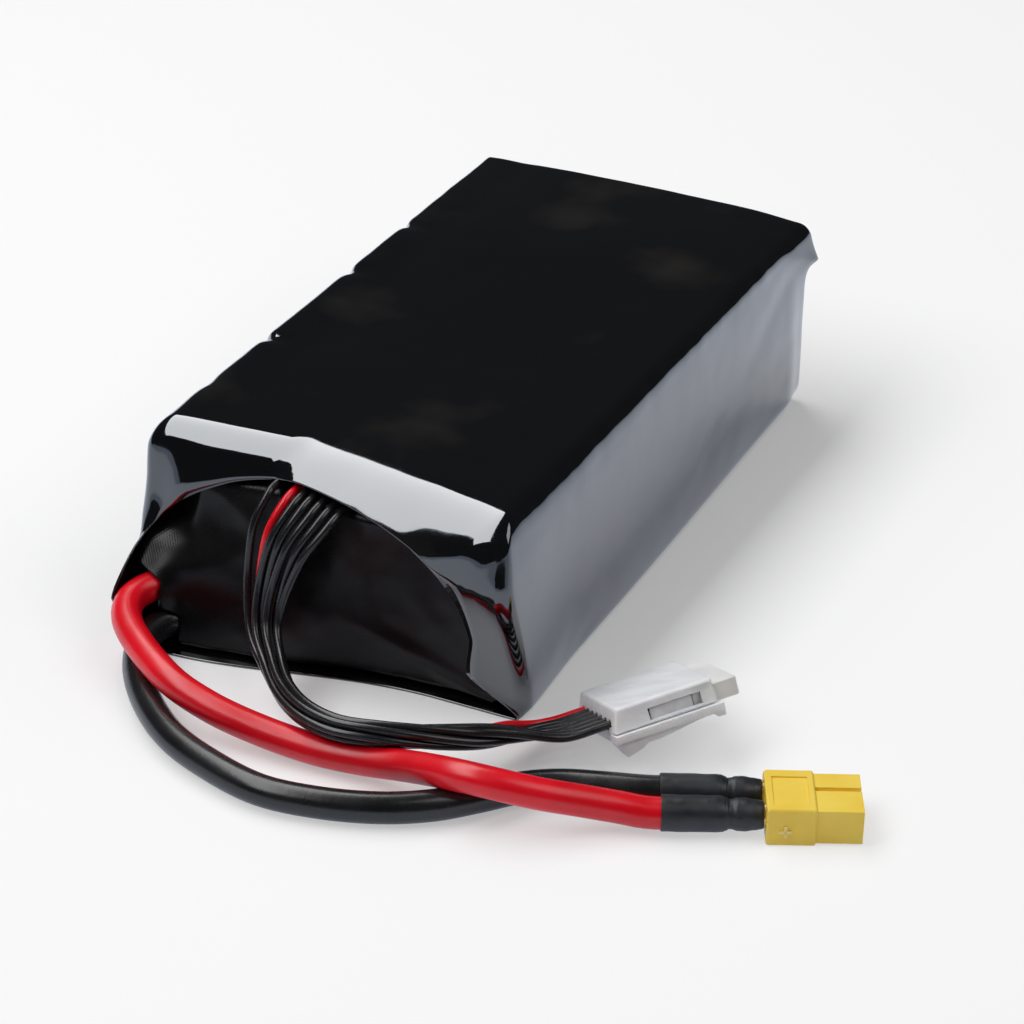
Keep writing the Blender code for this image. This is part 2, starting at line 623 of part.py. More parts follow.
def connector():
    half = CONNECTOR_WIDTH / 2
    cut = CONNECTOR_CHAMFER

    def shape(inset, grooved):
        low = inset
        high = CONNECTOR_HEIGHT - inset
        side = half - inset
        slot = NOSE_GROOVE_WIDTH / 2
        points = [(-side, low), (side - cut, low), (side, low + cut), (side, high - cut), (side - cut, high)]
        if grooved:
            floor = high - NOSE_GROOVE_DEPTH
            points += [(slot, high), (slot, floor), (-slot, floor), (-slot, high)]
        return points + [(-side, high)]

    turn = (math.pi / 2, 0.0, math.pi / 2)
    housing = outline_solid("connector_housing", [shape(0.0, False)], BLOCK_LENGTH, CONNECTOR_FRAME)
    housing.rotation_euler = turn
    housing.location.x = BLOCK_LENGTH / 2
    round_edges(housing, HOUSING_ROUND, 1)
    overlap = BLOCK_LENGTH / 2
    nose = outline_solid("nose", [shape(NOSE_INSET, True)], NOSE_LENGTH + overlap, CONNECTOR_FRAME, CUTTERS)
    nose.rotation_euler = turn
    nose.location.x = BLOCK_LENGTH - overlap + (NOSE_LENGTH + overlap) / 2
    combine(housing, nose, "UNION")
    length = BLOCK_LENGTH + NOSE_LENGTH
    margin = (BLOCK_LENGTH - PANEL_LENGTH) / 2
    panel = block("panel_cut", (margin, -(PANEL_WIDTH + cut) / 2, CONNECTOR_HEIGHT - PANEL_DEPTH),
                  (BLOCK_LENGTH - margin, (PANEL_WIDTH - cut) / 2, CONNECTOR_HEIGHT + PANEL_DEPTH),
                  CONNECTOR_FRAME, CUTTERS)
    combine(housing, panel, "DIFFERENCE")
    for side in (-1, 1):
        bm = bmesh.new()
        bore_radius = (SOCKET_DIAMETER + CLEARANCE) / 2
        bmesh.ops.create_cone(bm, cap_ends=True, segments=ROUND_STEPS, radius1=bore_radius,
                              radius2=bore_radius, depth=length * 2)
        bore = mesh_object(f"bore_{side}", bm, CONNECTOR_FRAME, CUTTERS)
        bore.rotation_euler = (0.0, math.pi / 2, 0.0)
        bore.location = (length / 2, side * POLE_PITCH / 2, POLE_HEIGHT)
        combine(housing, bore, "DIFFERENCE")
    housing.data.materials.append(finish("connector_housing", CONNECTOR_YELLOW, 0.4))
    tip = length - SOCKET_SETBACK
    for name, side in (("positive", -1), ("negative", 1)):
        bore = SOCKET_BORE / 2
        outer = SOCKET_DIAMETER / 2
        socket = turned("connector_socket_" + name,
                        [(0.0, tip - SOCKET_DEPTH), (bore, tip - SOCKET_DEPTH), (bore, tip), (outer, tip),
                         (outer, -CUP_LENGTH), (CUP_BORE / 2, -CUP_LENGTH), (CUP_BORE / 2, -CUP_FLOOR),
                         (0.0, -CUP_FLOOR)], CONNECTOR_FRAME)
        sleeve_in = LEAD_DIAMETER / 2 + TUBE_GAP
        cup_in = outer + TUBE_GAP
        front = -CLEARANCE
        neck = -TUBE_NECK
        rear = -TUBE_LENGTH
        cover = turned("shrink_tube_" + name,
                       [(TUBE_NECK_RADIUS, front), (TUBE_BULGE_RADIUS, front - TUBE_LEAD_IN),
                        (TUBE_BULGE_RADIUS, -TUBE_BULGE_END), (TUBE_NECK_RADIUS, -TUBE_WAIST),
                        (TUBE_NECK_RADIUS + TUBE_STEP_RISE, -TUBE_STEP_START),
                        (sleeve_in + TUBE_WALL, neck - TUBE_STEP_RUN),
                        (sleeve_in + TUBE_WALL, rear), (sleeve_in, rear), (sleeve_in, neck),
                        (cup_in, -TUBE_STEP_START), (cup_in, front)], CONNECTOR_FRAME)
        for piece in (socket, cover):
            piece.rotation_euler = (0.0, math.pi / 2, 0.0)
            piece.location = (0.0, side * POLE_PITCH / 2, POLE_HEIGHT)
        socket.data.materials.append(finish(socket.name, GOLD, 0.25, 1.0))
        cover.data.materials.append(finish(cover.name, TUBE_BLACK, 0.5))


def main_leads():
    for name, route, side, colour in (("positive", POSITIVE_ROUTE, -1, LEAD_RED),
                                      ("negative", NEGATIVE_ROUTE, 1, LEAD_BLACK)):
        points = [Vector(p) * MM for p in route]
        for x in (-TUBE_LENGTH - LEAD_DIAMETER / 2, -TUBE_LENGTH + LEAD_DIAMETER, -TUBE_NECK - CLEARANCE):
            points.append(CONNECTOR_FRAME.matrix_world @ Vector((x, side * POLE_PITCH / 2, POLE_HEIGHT)))
        samples, _ = smooth_curve(points, step=LEAD_STEP)
        lead = tube("main_lead_" + name, samples, LEAD_DIAMETER, 4)
        lead.data.materials.append(finish(lead.name, colour, 0.35))


def balance_leads():
    """Seven wires on one spine: a row at the mouth, two staggered layers on the way, a row at the plug."""
    points = [Vector(p) * MM for p in BUNDLE_ROUTE]
    for x in (0.0, PLUG_START - CLEARANCE):
        points.append(CLIP_FRAME.matrix_world @ Vector((x, 0.0, PLUG_MIDDLE)))
    spine, shares = smooth_curve(points, count=BUNDLE_SAMPLES)
    clip_axes = CLIP_FRAME.matrix_world.to_3x3()
    middle = (BALANCE_COUNT - 1) / 2
    paths = [[] for _ in range(BALANCE_COUNT)]
    for k, point in enumerate(spine):
        share = k / (BUNDLE_SAMPLES - 1)
        ahead = (spine[min(k + 1, BUNDLE_SAMPLES - 1)] - spine[max(k - 1, 0)]).normalized()
        left = Vector((0.0, 0.0, 1.0)).cross(ahead).normalized()
        over = ahead.cross(left)
        gathered = ramp(share, shares[GATHER[0]], shares[GATHER[1]])
        turned_over = math.pi * ramp(share, shares[TURN[0]], shares[TURN[1]])
        opened = ramp(share, shares[SPREAD[0]], shares[SPREAD[1]])
        across = left * math.cos(turned_over) + over * math.sin(turned_over)
        across = across.lerp(-clip_axes.col[1], opened).normalized()
        over = ahead.cross(across)
        for wire in range(BALANCE_COUNT):
            # The first two wires change places, so that the red one lies at the plug's end
            slot = 1 - wire if wire < 2 else wire
            row = (wire - middle) * EXIT_PITCH - (EXIT_FIRST_STEP if wire == 0 else 0.0)
            stagger = BUNDLE_RISE if slot % 2 else -BUNDLE_RISE
            bow = CROSSOVER_BOW * math.sin(math.pi * gathered) if wire == 0 else 0.0
            packed = (slot - middle) * BUNDLE_STEP
            spread = (slot - middle) * PLUG_PITCH
            a = (row * (1 - gathered) + packed * gathered) * (1 - opened) + spread * opened
            fall = EXIT_TILT * max(0.0, row) * (1 - gathered)
            b = (stagger * gathered + bow) * (1 - opened) - fall
            paths[wire].append(point + across * a + over * b)
    for wire, path in enumerate(paths):
        lead = tube(f"balance_lead_{wire + 1}", path, BALANCE_DIAMETER, 2)
        lead.data.materials.append(finish(lead.name, LEAD_RED if wire == 1 else LEAD_BLACK, 0.4))


def balance_plug():
    rear = PLUG_START
    front = PLUG_START + PLUG_LENGTH
    shoulder = front - PLUG_NOSE_LENGTH
    inset = PLUG_NOSE_INSET
    plug = block("balance_plug", (rear, -PLUG_HALF_WIDTH, PLUG_LOW),
                 (shoulder, PLUG_HALF_WIDTH, PLUG_HIGH), CLIP_FRAME)
    nose = block("plug_nose", ((rear + shoulder) / 2, inset - PLUG_HALF_WIDTH, PLUG_LOW + inset),
                 (front, PLUG_HALF_WIDTH - inset, PLUG_HIGH - inset), CLIP_FRAME, CUTTERS)
    round_edges(nose, PLUG_NOSE_ROUND, 1)
    combine(plug, nose, "UNION")
    half = PLUG_CAVITY / 2
    outlines = []
    for wire in range(BALANCE_COUNT):
        y = (wire - (BALANCE_COUNT - 1) / 2) * PLUG_PITCH
        outlines.append([(y - half, PLUG_MIDDLE - half), (y + half, PLUG_MIDDLE - half),
                         (y + half, PLUG_MIDDLE + half), (y - half, PLUG_MIDDLE + half)])
        low = (rear, y - CONTACT_WIDTH / 2, PLUG_MIDDLE - CONTACT_WIDTH / 2)
        high = (rear + CONTACT_LENGTH, y + CONTACT_WIDTH / 2, PLUG_MIDDLE + CONTACT_WIDTH / 2)
        contact = block(f"plug_contact_{wire + 1}", low, high, CLIP_FRAME)
        contact.data.materials.append(finish(contact.name, NICKEL, 0.3, 1.0))
    cavities = outline_solid("plug_cavities", outlines, PLUG_LENGTH * 2, CLIP_FRAME, CUTTERS)
    cavities.rotation_euler = (math.pi / 2, 0.0, math.pi / 2)
    cavities.location.x = (rear + front) / 2
    combine(plug, cavities, "DIFFERENCE")
    plug.data.materials.append(finish("balance_plug", PLUG_WHITE, 0.45))


def wire_notches(name, parent, shift):
    """Round passages for the wires through the clip's end, as one cutter."""
    radius = BALANCE_DIAMETER / 2 + NOTCH_GAP
    rings = []
    for wire in range(BALANCE_COUNT):
        y = (wire - (BALANCE_COUNT - 1) / 2) * PLUG_PITCH - shift
        turns = [math.pi * k / NOTCH_STEPS for k in range(2 * NOTCH_STEPS)]
        rings.append([(y + radius * math.cos(t), PLUG_MIDDLE + radius * math.sin(t)) for t in turns])
    cutter = outline_solid(name, rings, COVER_WALL * 6, parent, CUTTERS)
    cutter.rotation_euler = (math.pi / 2, 0.0, math.pi / 2)
    return cutter


def clip_base():
    half = CLIP_WIDTH / 2
    base = block("balance_clip_base", (0.0, -half - CLIP_FLANGE, -BASE_THICKNESS),
                 (CLIP_LENGTH + CLIP_FLANGE, half, 0.0), CLIP_FRAME)
    web = block("hinge_strip", (COVER_END_SLOPE, half - HINGE_STRIP, -BASE_THICKNESS),
                (CLIP_LENGTH, HINGE_Y + HINGE_STRIP, HINGE_STRIP - BASE_THICKNESS), CLIP_FRAME, CUTTERS)
    combine(base, web, "UNION")
    arc_start = FOOT_LENGTH
    arc_end = CLIP_LENGTH + CLIP_FLANGE - NOSE_FOOT_LENGTH
    foot = [(0.0, -BASE_THICKNESS / 2), (0.0, -BASE_THICKNESS * 1.2), (FOOT_LENGTH * 0.25, -FOOT_DEPTH),
            (FOOT_LENGTH * 0.8, -FOOT_DEPTH * 0.8), (arc_start, -FOOT_DEPTH * 0.65)]
    for k in range(1, 7):
        t = k / 7
        hollow = math.cos(t * math.pi / 2) ** 2
        foot.append((arc_start + (arc_end - arc_start) * t,
                     -BASE_THICKNESS * 1.05 - (FOOT_DEPTH * 0.65 - BASE_THICKNESS) * hollow))
    foot += [(arc_end, -BASE_THICKNESS * 1.1), (arc_end + NOSE_FOOT_LENGTH * 0.3, -NOSE_FOOT_DEPTH),
             (CLIP_LENGTH + CLIP_FLANGE, -NOSE_FOOT_DEPTH), (CLIP_LENGTH + CLIP_FLANGE, -BASE_THICKNESS / 2)]
    grip = outline_solid("grip_foot", [foot], FOOT_WIDTH, CLIP_FRAME, CUTTERS)
    grip.rotation_euler = (math.pi / 2, 0.0, 0.0)
    grip.location.y = -half - CLIP_FLANGE + FOOT_WIDTH / 2 + CLEARANCE
    combine(base, grip, "UNION")
    recess = block("plug_recess", (PLUG_START - CLEARANCE, -PLUG_HALF_WIDTH - CLEARANCE, -BASE_RECESS),
                   (CLIP_LENGTH * 2, PLUG_HALF_WIDTH + CLEARANCE, BASE_RECESS), CLIP_FRAME, CUTTERS)
    combine(base, recess, "DIFFERENCE")
    comb = block("comb_wall", (0.0, -COMB_HALF_WIDTH, -BASE_RECESS),
                 (COVER_WALL, COMB_HALF_WIDTH, PLUG_MIDDLE - CLEARANCE), CLIP_FRAME, CUTTERS)
    combine(base, comb, "UNION")
    combine(base, wire_notches("base_notches", CLIP_FRAME, 0.0), "DIFFERENCE")
    base.data.materials.append(finish("balance_clip_base", CLIP_CLEAR, 0.3))


def clip_cover():
    """Upper half of the clip, hung on the hinge frame so that its origin lies on the hinge line."""
    half = CLIP_WIDTH / 2

    def tapered(name, low, high, draft, slope, collection):
        shell = block(name, low, high, HINGE_FRAME, collection)
        top = max(v.co.z for v in shell.data.vertices)
        rear = min(v.co.x for v in shell.data.vertices)
        for vert in shell.data.vertices:
            if vert.co.z > top - 1e-6:
                vert.co.y += draft if vert.co.y < -half - HINGE_OFFSET else -draft
                vert.co.x += slope if vert.co.x < rear + 1e-6 else 0.0
        return shell

    def local(x, y, z):
        return (x, y - HINGE_Y, z)

    cover = tapered("balance_clip_cover", local(0.0, -half, HINGE_GAP),
                    local(CLIP_LENGTH, half, COVER_HEIGHT), COVER_DRAFT, COVER_END_SLOPE, PACK)
    round_edges(cover, COVER_ROUND, 2)
    inner = half - COVER_WALL
    pocket = tapered("clip_pocket", local(COVER_END_WALL, -inner, -COVER_WALL),
                     local(CLIP_LENGTH - COVER_WALL, inner, COVER_HEIGHT - COVER_ROOF), POCKET_DRAFT,
                     POCKET_SLOPE, CUTTERS)
    combine(cover, pocket, "DIFFERENCE")
    mouth_half = PLUG_HALF_WIDTH + PLUG_SIDE_GAP
    mouth = block("plug_mouth", local(PLUG_START, -mouth_half, -COVER_WALL),
                  local(CLIP_LENGTH * 2, mouth_half, COVER_HEIGHT - COVER_ROOF), HINGE_FRAME, CUTTERS)
    combine(cover, mouth, "DIFFERENCE")
    comb_half = COMB_HALF_WIDTH + CLEARANCE
    comb_room = block("comb_room", local(-COVER_END_WALL, -comb_half, -COVER_WALL),
                      local(COVER_END_WALL * 2, comb_half, PLUG_MIDDLE), HINGE_FRAME, CUTTERS)
    combine(cover, comb_room, "DIFFERENCE")
    combine(cover, wire_notches("cover_notches", HINGE_FRAME, HINGE_Y), "DIFFERENCE")
    window = block("latch_window", local(LATCH_START, -half * 2, LATCH_BOTTOM),
                   local(LATCH_START + LATCH_LENGTH, -half * 0.8, LATCH_BOTTOM + LATCH_HEIGHT),
                   HINGE_FRAME, CUTTERS)
    combine(cover, window, "DIFFERENCE")
    cover.data.materials.append(finish("balance_clip_cover", CLIP_CLEAR, 0.3))


shrink_sleeve()
front_cloth_cover()
plates()
cells()
tabs_and_board()
connector()
main_leads()
balance_leads()
balance_plug()
clip_base()
clip_cover()
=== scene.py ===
"""Looks for the soft pouch battery pack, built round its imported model, in metres and in the same frame."""
import math

import bmesh
import bpy
from mathutils import Matrix, Vector, noise


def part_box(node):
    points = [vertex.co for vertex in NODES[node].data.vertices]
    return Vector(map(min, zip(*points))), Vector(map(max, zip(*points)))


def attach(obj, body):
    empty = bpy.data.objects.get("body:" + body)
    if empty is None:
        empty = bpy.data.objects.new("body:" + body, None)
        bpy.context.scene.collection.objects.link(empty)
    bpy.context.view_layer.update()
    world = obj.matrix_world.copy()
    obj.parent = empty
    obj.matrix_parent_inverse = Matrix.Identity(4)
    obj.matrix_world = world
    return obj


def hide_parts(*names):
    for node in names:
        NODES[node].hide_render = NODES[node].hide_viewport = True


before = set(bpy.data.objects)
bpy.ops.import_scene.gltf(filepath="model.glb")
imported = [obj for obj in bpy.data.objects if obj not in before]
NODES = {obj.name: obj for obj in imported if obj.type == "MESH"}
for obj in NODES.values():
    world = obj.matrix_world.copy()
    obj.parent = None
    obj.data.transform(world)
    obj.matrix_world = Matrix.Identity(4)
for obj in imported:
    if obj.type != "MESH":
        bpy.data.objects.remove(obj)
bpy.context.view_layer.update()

MM = 0.001

# Camera that was fitted to the photograph
EYE = Vector((0.279716, -0.583066, 0.361423))
CAMERA_RIGHT = Vector((0.89974723, 0.43614631, 0.01520941))
CAMERA_UP = Vector((-0.22587654, 0.43558577, 0.87134656))
FOCAL_PIXELS = 3332.0
IMAGE_PIXELS = 1024.0
SENSOR = 36.0
NEAREST = 0.01

# Sleeve: overall sizes and edge radii, the radii in the order low right, high right, high left, low left
HALF_WIDTH = 0.041
PACK_HEIGHT = 0.045
FRONT = -0.0775
REAR = 0.0775
FILM = 0.0004
CORNER_RADIUS = 0.005
FRONT_RADII = (0.0022, 0.0045, 0.0028, 0.0030)
REAR_RADII = (0.0048, 0.0024, 0.0014, 0.0022)
LEAST_RADIUS = 0.0008
END_ROUND = 0.0035
REAR_ROUND = 0.0016
REAR_LIP = 0.011
REAR_LIP_ROUND = 0.0065
REAR_LIP_UNEVEN = 0.0016
REAR_LIP_WAVES = 60.0
REAR_LIP_SHIFT = 4.4
REAR_LIP_RINGS = (1.0, 0.8, 0.6, 0.3)

# Sleeve: how finely its mesh is divided
CORNER_STEPS = 9
SIDE_SPANS = 40
FACE_SPANS = 40
REAR_STEPS = 6
LENGTH_STEPS = 96
FRONT_STEPS = 16

# Sleeve: swelling of the front bay on the side where the leads leave
FRONT_BULGE = 0.0102
BULGE_TOP = 0.034
BULGE_FOOT = 0.003
BULGE_LEFT_MARGIN = 0.006
BULGE_RIGHT_MARGIN = 0.018
TOP_ROUND_START = 0.022

# Sleeve: upper front on either side of its fold, with bend radius and face at the outer end and at the fold
FOLD = (-0.0134, -0.0108)
LEFT_BEND = (0.0044, 0.0046)
LEFT_FACE = (-0.0739, -0.0713)
RIGHT_BEND = (0.0090, 0.0160)
RIGHT_FACE = (-0.0827, -0.0793)
BEND_END_POWER = 20
LEAN_POWER = 1.25
CORNER_POWER = 6.0
CORNER_LEAN = (-0.037, -0.032)
EAVE_HIGH = 0.032
EAVE_SLOPE = 0.2
EAVE_START = (-0.018, 0.0)
EAVE_RETURN = 1.4

# Sleeve: edge of the front opening, and how far it moves across and up for each step the film comes forward
LIP_CROWN_DROP = 0.0042
LIP_CROWN_X = -0.0086
LIP_RIGHT_WIDTH = 0.0125
LIP_LEFT_WIDTH = 0.0005
LIP_FOLLOW = (0.557, 0.638)
LIP_TRIES = 8
LIP_MARGIN = 0.0006
LIP_FOOT_HEIGHT = 0.0012
LIP_FULL_HEIGHT = 0.016
ARCH_RISE = 0.6
ARCH_WIDTH_POWER = 1.29
ARCH_HEIGHT_POWER = 0.58
BEND_SHARE = 0.85
BEND_PART = 0.75
SILL_REACH = 0.0012

# Sleeve: flare round the leads
FLARE_WIDTH = 0.0034
FLARE_REACH = 0.0045
FLARE_RUN = 0.016
FLARE_INWARD = 0.014
FLARE_FOOT_LOW = 0.003
FLARE_FOOT_HIGH = 0.011
FLARE_FADE_LOW = 0.012
FLARE_FADE_HIGH = 0.0285

# Leads: sizes in metres
LEAD_DIAMETER = 0.0063
LEAD_STEP = 0.0018
LEAD_BEVEL_STEPS = 7
BALANCE_DIAMETER = 0.0017
BALANCE_COUNT = 7
BALANCE_POINTS = 150
EXIT_PITCH = 0.0023
EXIT_FIRST_STEP = 0.0022
EXIT_TILT = 0.19
CROSSOVER_BOW = 0.0012
PLUG_PITCH = 0.0025
PLUG_START = 0.0172
PLUG_MIDDLE = 0.0017
POLE_PITCH = 0.0072
POLE_HEIGHT = 0.00405
TUBE_LENGTH = 0.0185
TUBE_NECK = 0.0078
CLEARANCE = 0.0003
CURVE_STEPS = 16

# Leads: routes in millimetres
POSITIVE_ROUTE = [
    (-13.0, -71.0, 11.8), (-13.3, -74.4, 11.8), (-19.5, -77.7, 11.9), (-31.0, -78.3, 12.0),
    (-38.0, -82.3, 11.7), (-40.2, -89.5, 11.0), (-35.1, -97.9, 10.3), (-21.0, -107.8, 8.9),
    (-9.4, -110.8, 6.7), (2.5, -111.2, 4.8), (14.2, -111.0, 3.9), (24.0, -110.6, 4.3),
    (33.0, -111.0, 5.9), (40.8, -112.7, 8.1), (48.0, -114.2, 9.8), (55.0, -113.4, 9.6),
    (62.2, -110.5, 8.0), (69.0, -106.6, 6.2), (75.5, -103.4, 4.8),
]
NEGATIVE_ROUTE = [
    (-13.0, -71.0, 4.9), (-13.3, -74.4, 4.9), (-19.5, -78.4, 4.7), (-29.5, -79.1, 4.5),
    (-35.2, -83.9, 4.3), (-36.0, -91.2, 4.1), (-32.6, -99.6, 3.4), (-24.6, -109.6, 3.3),
    (-13.6, -118.7, 3.3), (-1.3, -124.2, 3.3), (11.5, -127.3, 3.3), (23.7, -125.9, 3.3),
    (34.6, -122.2, 3.3), (43.0, -117.0, 3.3), (49.5, -110.5, 3.3), (55.5, -103.8, 3.3),
    (62.0, -99.6, 3.4), (70.0, -97.2, 3.8),
]
BUNDLE_ROUTE = [
    (-4.2, -70.6, 38.2), (-4.2, -75.5, 38.2), (-4.8, -80.5, 37.0), (-7.4, -85.0, 31.0),
    (-9.2, -87.2, 21.5), (-8.4, -90.2, 14.2), (-4.0, -95.0, 10.4), (3.0, -102.6, 9.4),
    (10.6, -108.2, 9.7), (18.8, -110.4, 9.9), (27.2, -109.0, 10.1), (34.8, -105.2, 9.5),
    (41.8, -100.2, 8.6), (48.6, -94.2, 7.6), (55.2, -87.6, 6.9),
]
# Points of the bundle's route between which the wires gather, turn and spread out again
GATHER = (1, 7)
TURN = (9, 14)
SPREAD = (12, 14)
# Places of the gathered wires across the bundle, in packed pitches, from the left
PACKED = ((-1.0, 0.0), (-0.5, -0.87), (-0.5, 0.87), (0.0, 0.0), (0.5, 0.87), (0.5, -0.87), (1.0, 0.0))
PACKED_PITCH = 0.00178

# Frames of the connector and of the clip
CONNECTOR_FRAME = Matrix.Translation((0.0993, -0.0888, 0.0)) @ Matrix.Rotation(math.radians(25.3), 4, "Z")
CLIP_TURN = (Matrix.Rotation(math.radians(48.0), 4, "Z") @ Matrix.Rotation(math.radians(-7.7), 4, "Y")
             @ Matrix.Rotation(math.radians(-21.2), 4, "X"))
CLIP_FRAME = Matrix.Translation((0.0612, -0.0823, 0.0064)) @ CLIP_TURN


def ramp(value, start, end):
    """A smooth step from 0 at start to 1 at end."""
    t = min(1.0, max(0.0, (value - start) / (end - start)))
    return t * t * (3 - 2 * t)


def hill(value, middle, width):
    """A smooth bump of height 1."""
    return math.exp(-((value - middle) / width) ** 2)


# Materials: span of values that a noise mostly has, and how gloss varies on worn surfaces
NOISE_SPAN = (0.3, 0.7)
GLOSS_PITCH = 2.3
GLOSS_LOW = 0.8
GLOSS_HIGH = 1.25


def look(name, colour, roughness, **sockets):
    """A node material with its shader's plain values set."""
    material = bpy.data.materials.new(name)
    material.use_nodes = True
    shader = material.node_tree.nodes["Principled BSDF"]
    shader.inputs["Base Color"].default_value = (*colour, 1.0)
    shader.inputs["Roughness"].default_value = roughness
    for key, value in sockets.items():
        shader.inputs[key.replace("_", " ")].default_value = value
    return material


def node(material, kind, **values):
    """A new node with its input values and settings."""
    made = material.node_tree.nodes.new(kind)
    for key, value in values.items():
        if key in made.inputs:
            made.inputs[key].default_value = value
        else:
            setattr(made, key, value)
    return made


def link(material, source, output, target, entry):
    material.node_tree.links.new(source.outputs[output], target.inputs[entry])


def shader_of(material):
    return material.node_tree.nodes["Principled BSDF"]


def coords(material, scale=(1.0, 1.0, 1.0), turn=(0.0, 0.0, 0.0)):
    """The piece's own coordinates, stretched and turned."""
    place = node(material, "ShaderNodeTexCoord")
    mapping = node(material, "ShaderNodeMapping", Scale=scale, Rotation=turn)
    link(material, place, "Object", mapping, "Vector")
    return mapping


def noise_node(material, mapping, scale, detail=3.0):
    made = node(material, "ShaderNodeTexNoise", Scale=scale, Detail=detail)
    link(material, mapping, "Vector", made, "Vector")
    return made


def span_node(material, from_min, from_max, to_min, to_max):
    """A node that maps one span of values to another."""
    span = node(material, "ShaderNodeMapRange")
    span.inputs["From Min"].default_value = from_min
    span.inputs["From Max"].default_value = from_max
    span.inputs["To Min"].default_value = to_min
    span.inputs["To Max"].default_value = to_max
    return span


def vary_colour(material, mapping, scale, low, high, start=0.35, end=0.65, detail=4.0):
    """Blotches between two colours."""
    spots = noise_node(material, mapping, scale, detail)
    shades = node(material, "ShaderNodeValToRGB")
    for element, position, colour in zip(shades.color_ramp.elements, (start, end), (low, high)):
        element.position = position
        element.color = (*colour, 1.0)
    link(material, spots, "Fac", shades, "Fac")
    link(material, shades, "Color", shader_of(material), "Base Color")


def vary_roughness(material, mapping, scale, low, high, detail=4.0):
    """Blotches between two degrees of gloss."""
    spots = noise_node(material, mapping, scale, detail)
    span = span_node(material, *NOISE_SPAN, low, high)
    link(material, spots, "Fac", span, "Value")
    link(material, span, "Result", shader_of(material), "Roughness")


def bump(material, sources, distance):
    """Adds the given height nodes, each with its strength, as one bump chain."""
    before = None
    for source, strength in sources:
        made = node(material, "ShaderNodeBump", Strength=strength, Distance=distance)
        link(material, source, "Fac", made, "Height")
        if before is not None:
            link(material, before, "Normal", made, "Normal")
        before = made
    link(material, before, "Normal", shader_of(material), "Normal")


def wear(name, low, high, roughness, colour_scale, grain_scale, grain, **sockets):
    """A moulded or drawn surface: two close shades, uneven gloss and a fine grain."""
    material = look(name, high, roughness, **sockets)
    place = coords(material)
    vary_colour(material, place, colour_scale, low, high)
    vary_roughness(material, place, colour_scale * GLOSS_PITCH, roughness * GLOSS_LOW, roughness * GLOSS_HIGH)
    bump(material, [(noise_node(material, place, grain_scale), 1.0)], grain)
    return material


def film_look():
    """Shrunk film: black and glossy, with faint scuffs, dust and shallow ripples, and a painted blue tint in
    its reflections.
    """
    # The blue specular tint is painted reflection colour: it turns the film's reflections bluish.
    material = look("film", (0.004, 0.004, 0.005), 0.08, IOR=1.5, Coat_Weight=1.0, Coat_IOR=1.8,
                    Coat_Roughness=0.04, Specular_Tint=(0.80, 0.89, 1.0, 1.0))
    place = coords(material)
    vary_colour(material, place, 30.0, (0.0020, 0.0020, 0.0028), (0.016, 0.0135, 0.012), 0.56, 0.72, 3.0)
    vary_roughness(material, place, 34.0, 0.045, 0.12)
    ripple = noise_node(material, place, 55.0, 2.0)
    peel = noise_node(material, place, 900.0, 2.0)
    bump(material, [(ripple, 0.25), (peel, 0.012)], 0.001)
    return material


def cloth_look():
    """Woven tape: two crossed sets of fine diagonal threads."""
    material = look("cloth_tape", (0.006, 0.006, 0.007), 0.24, Specular_IOR_Level=0.26)
    place = coords(material)
    threads = []
    for angle in (38.0, -52.0):
        turned = coords(material, turn=(0.0, math.radians(angle), 0.0))
        wave = node(material, "ShaderNodeTexWave", Scale=620.0, Distortion=0.4, Detail=1.0)
        link(material, turned, "Vector", wave, "Vector")
        threads.append((wave, 0.055))
    vary_colour(material, place, 60.0, (0.003, 0.003, 0.0035), (0.008, 0.0075, 0.008))
    vary_roughness(material, place, 40.0, 0.22, 0.34)
    bump(material, threads, 0.0002)
    return material


def lead_look(name, low, high, roughness):
    """Soft silicone insulation with a faint bloom and dust."""
    material = look(name, high, roughness, Coat_Weight=0.15, Coat_Roughness=0.2)
    place = coords(material)
    vary_colour(material, place, 90.0, low, high)
    vary_roughness(material, place, 160.0, roughness * 0.85, roughness * 1.2)
    bump(material, [(noise_node(material, place, 700.0), 0.05)], 0.0005)
    return material


def clip_look():
    """Frosted milky moulding with faint streaks."""
    material = look("clip_clear", (0.95, 0.96, 1.0), 0.32, IOR=1.4, Subsurface_Weight=0.6,
                    Subsurface_Scale=0.0015, Subsurface_Radius=(1.0, 1.0, 1.0))
    streaks = coords(material, scale=(0.5, 1.6, 1.0), turn=(0.0, 0.0, math.radians(-48.0)))
    vary_colour(material, streaks, 170.0, (0.80, 0.81, 0.87), (0.97, 0.98, 1.0), 0.32, 0.6)
    bump(material, [(noise_node(material, coords(material), 1500.0), 0.04)], 0.0004)
    return material


FILM_LOOK = film_look()
CLOTH_LOOK = cloth_look()
RED_LOOK = lead_look("lead_red", (0.70, 0.001, 0.010), (0.82, 0.003, 0.016), 0.32)
BLACK_LOOK = lead_look("lead_black", (0.007, 0.007, 0.008), (0.014, 0.014, 0.016), 0.26)
TUBE_LOOK = wear("shrink_tube", (0.013, 0.014, 0.017), (0.024, 0.026, 0.032), 0.42, 120.0, 420.0, 0.0001)
YELLOW_LOOK = wear("connector_yellow", (0.95, 0.66, 0.075), (0.99, 0.73, 0.11), 0.36, 110.0, 1800.0, 0.00002)
# The plus sign is the housing's own yellow made lighter: a painted highlight on the raised sign.
PLUS_PAINTED_HIGHLIGHT_LOOK = wear("plus_mark", (0.98, 0.78, 0.24), (0.99, 0.84, 0.34), 0.36, 110.0, 1800.0, 0.00002)
WHITE_LOOK = wear("plug_white", (0.78, 0.78, 0.77), (0.88, 0.88, 0.87), 0.4, 150.0, 1800.0, 0.00002)
GOLD_LOOK = wear("gold", (0.72, 0.50, 0.18), (0.88, 0.66, 0.28), 0.22, 200.0, 2500.0, 0.00001,
                 Metallic=1.0)
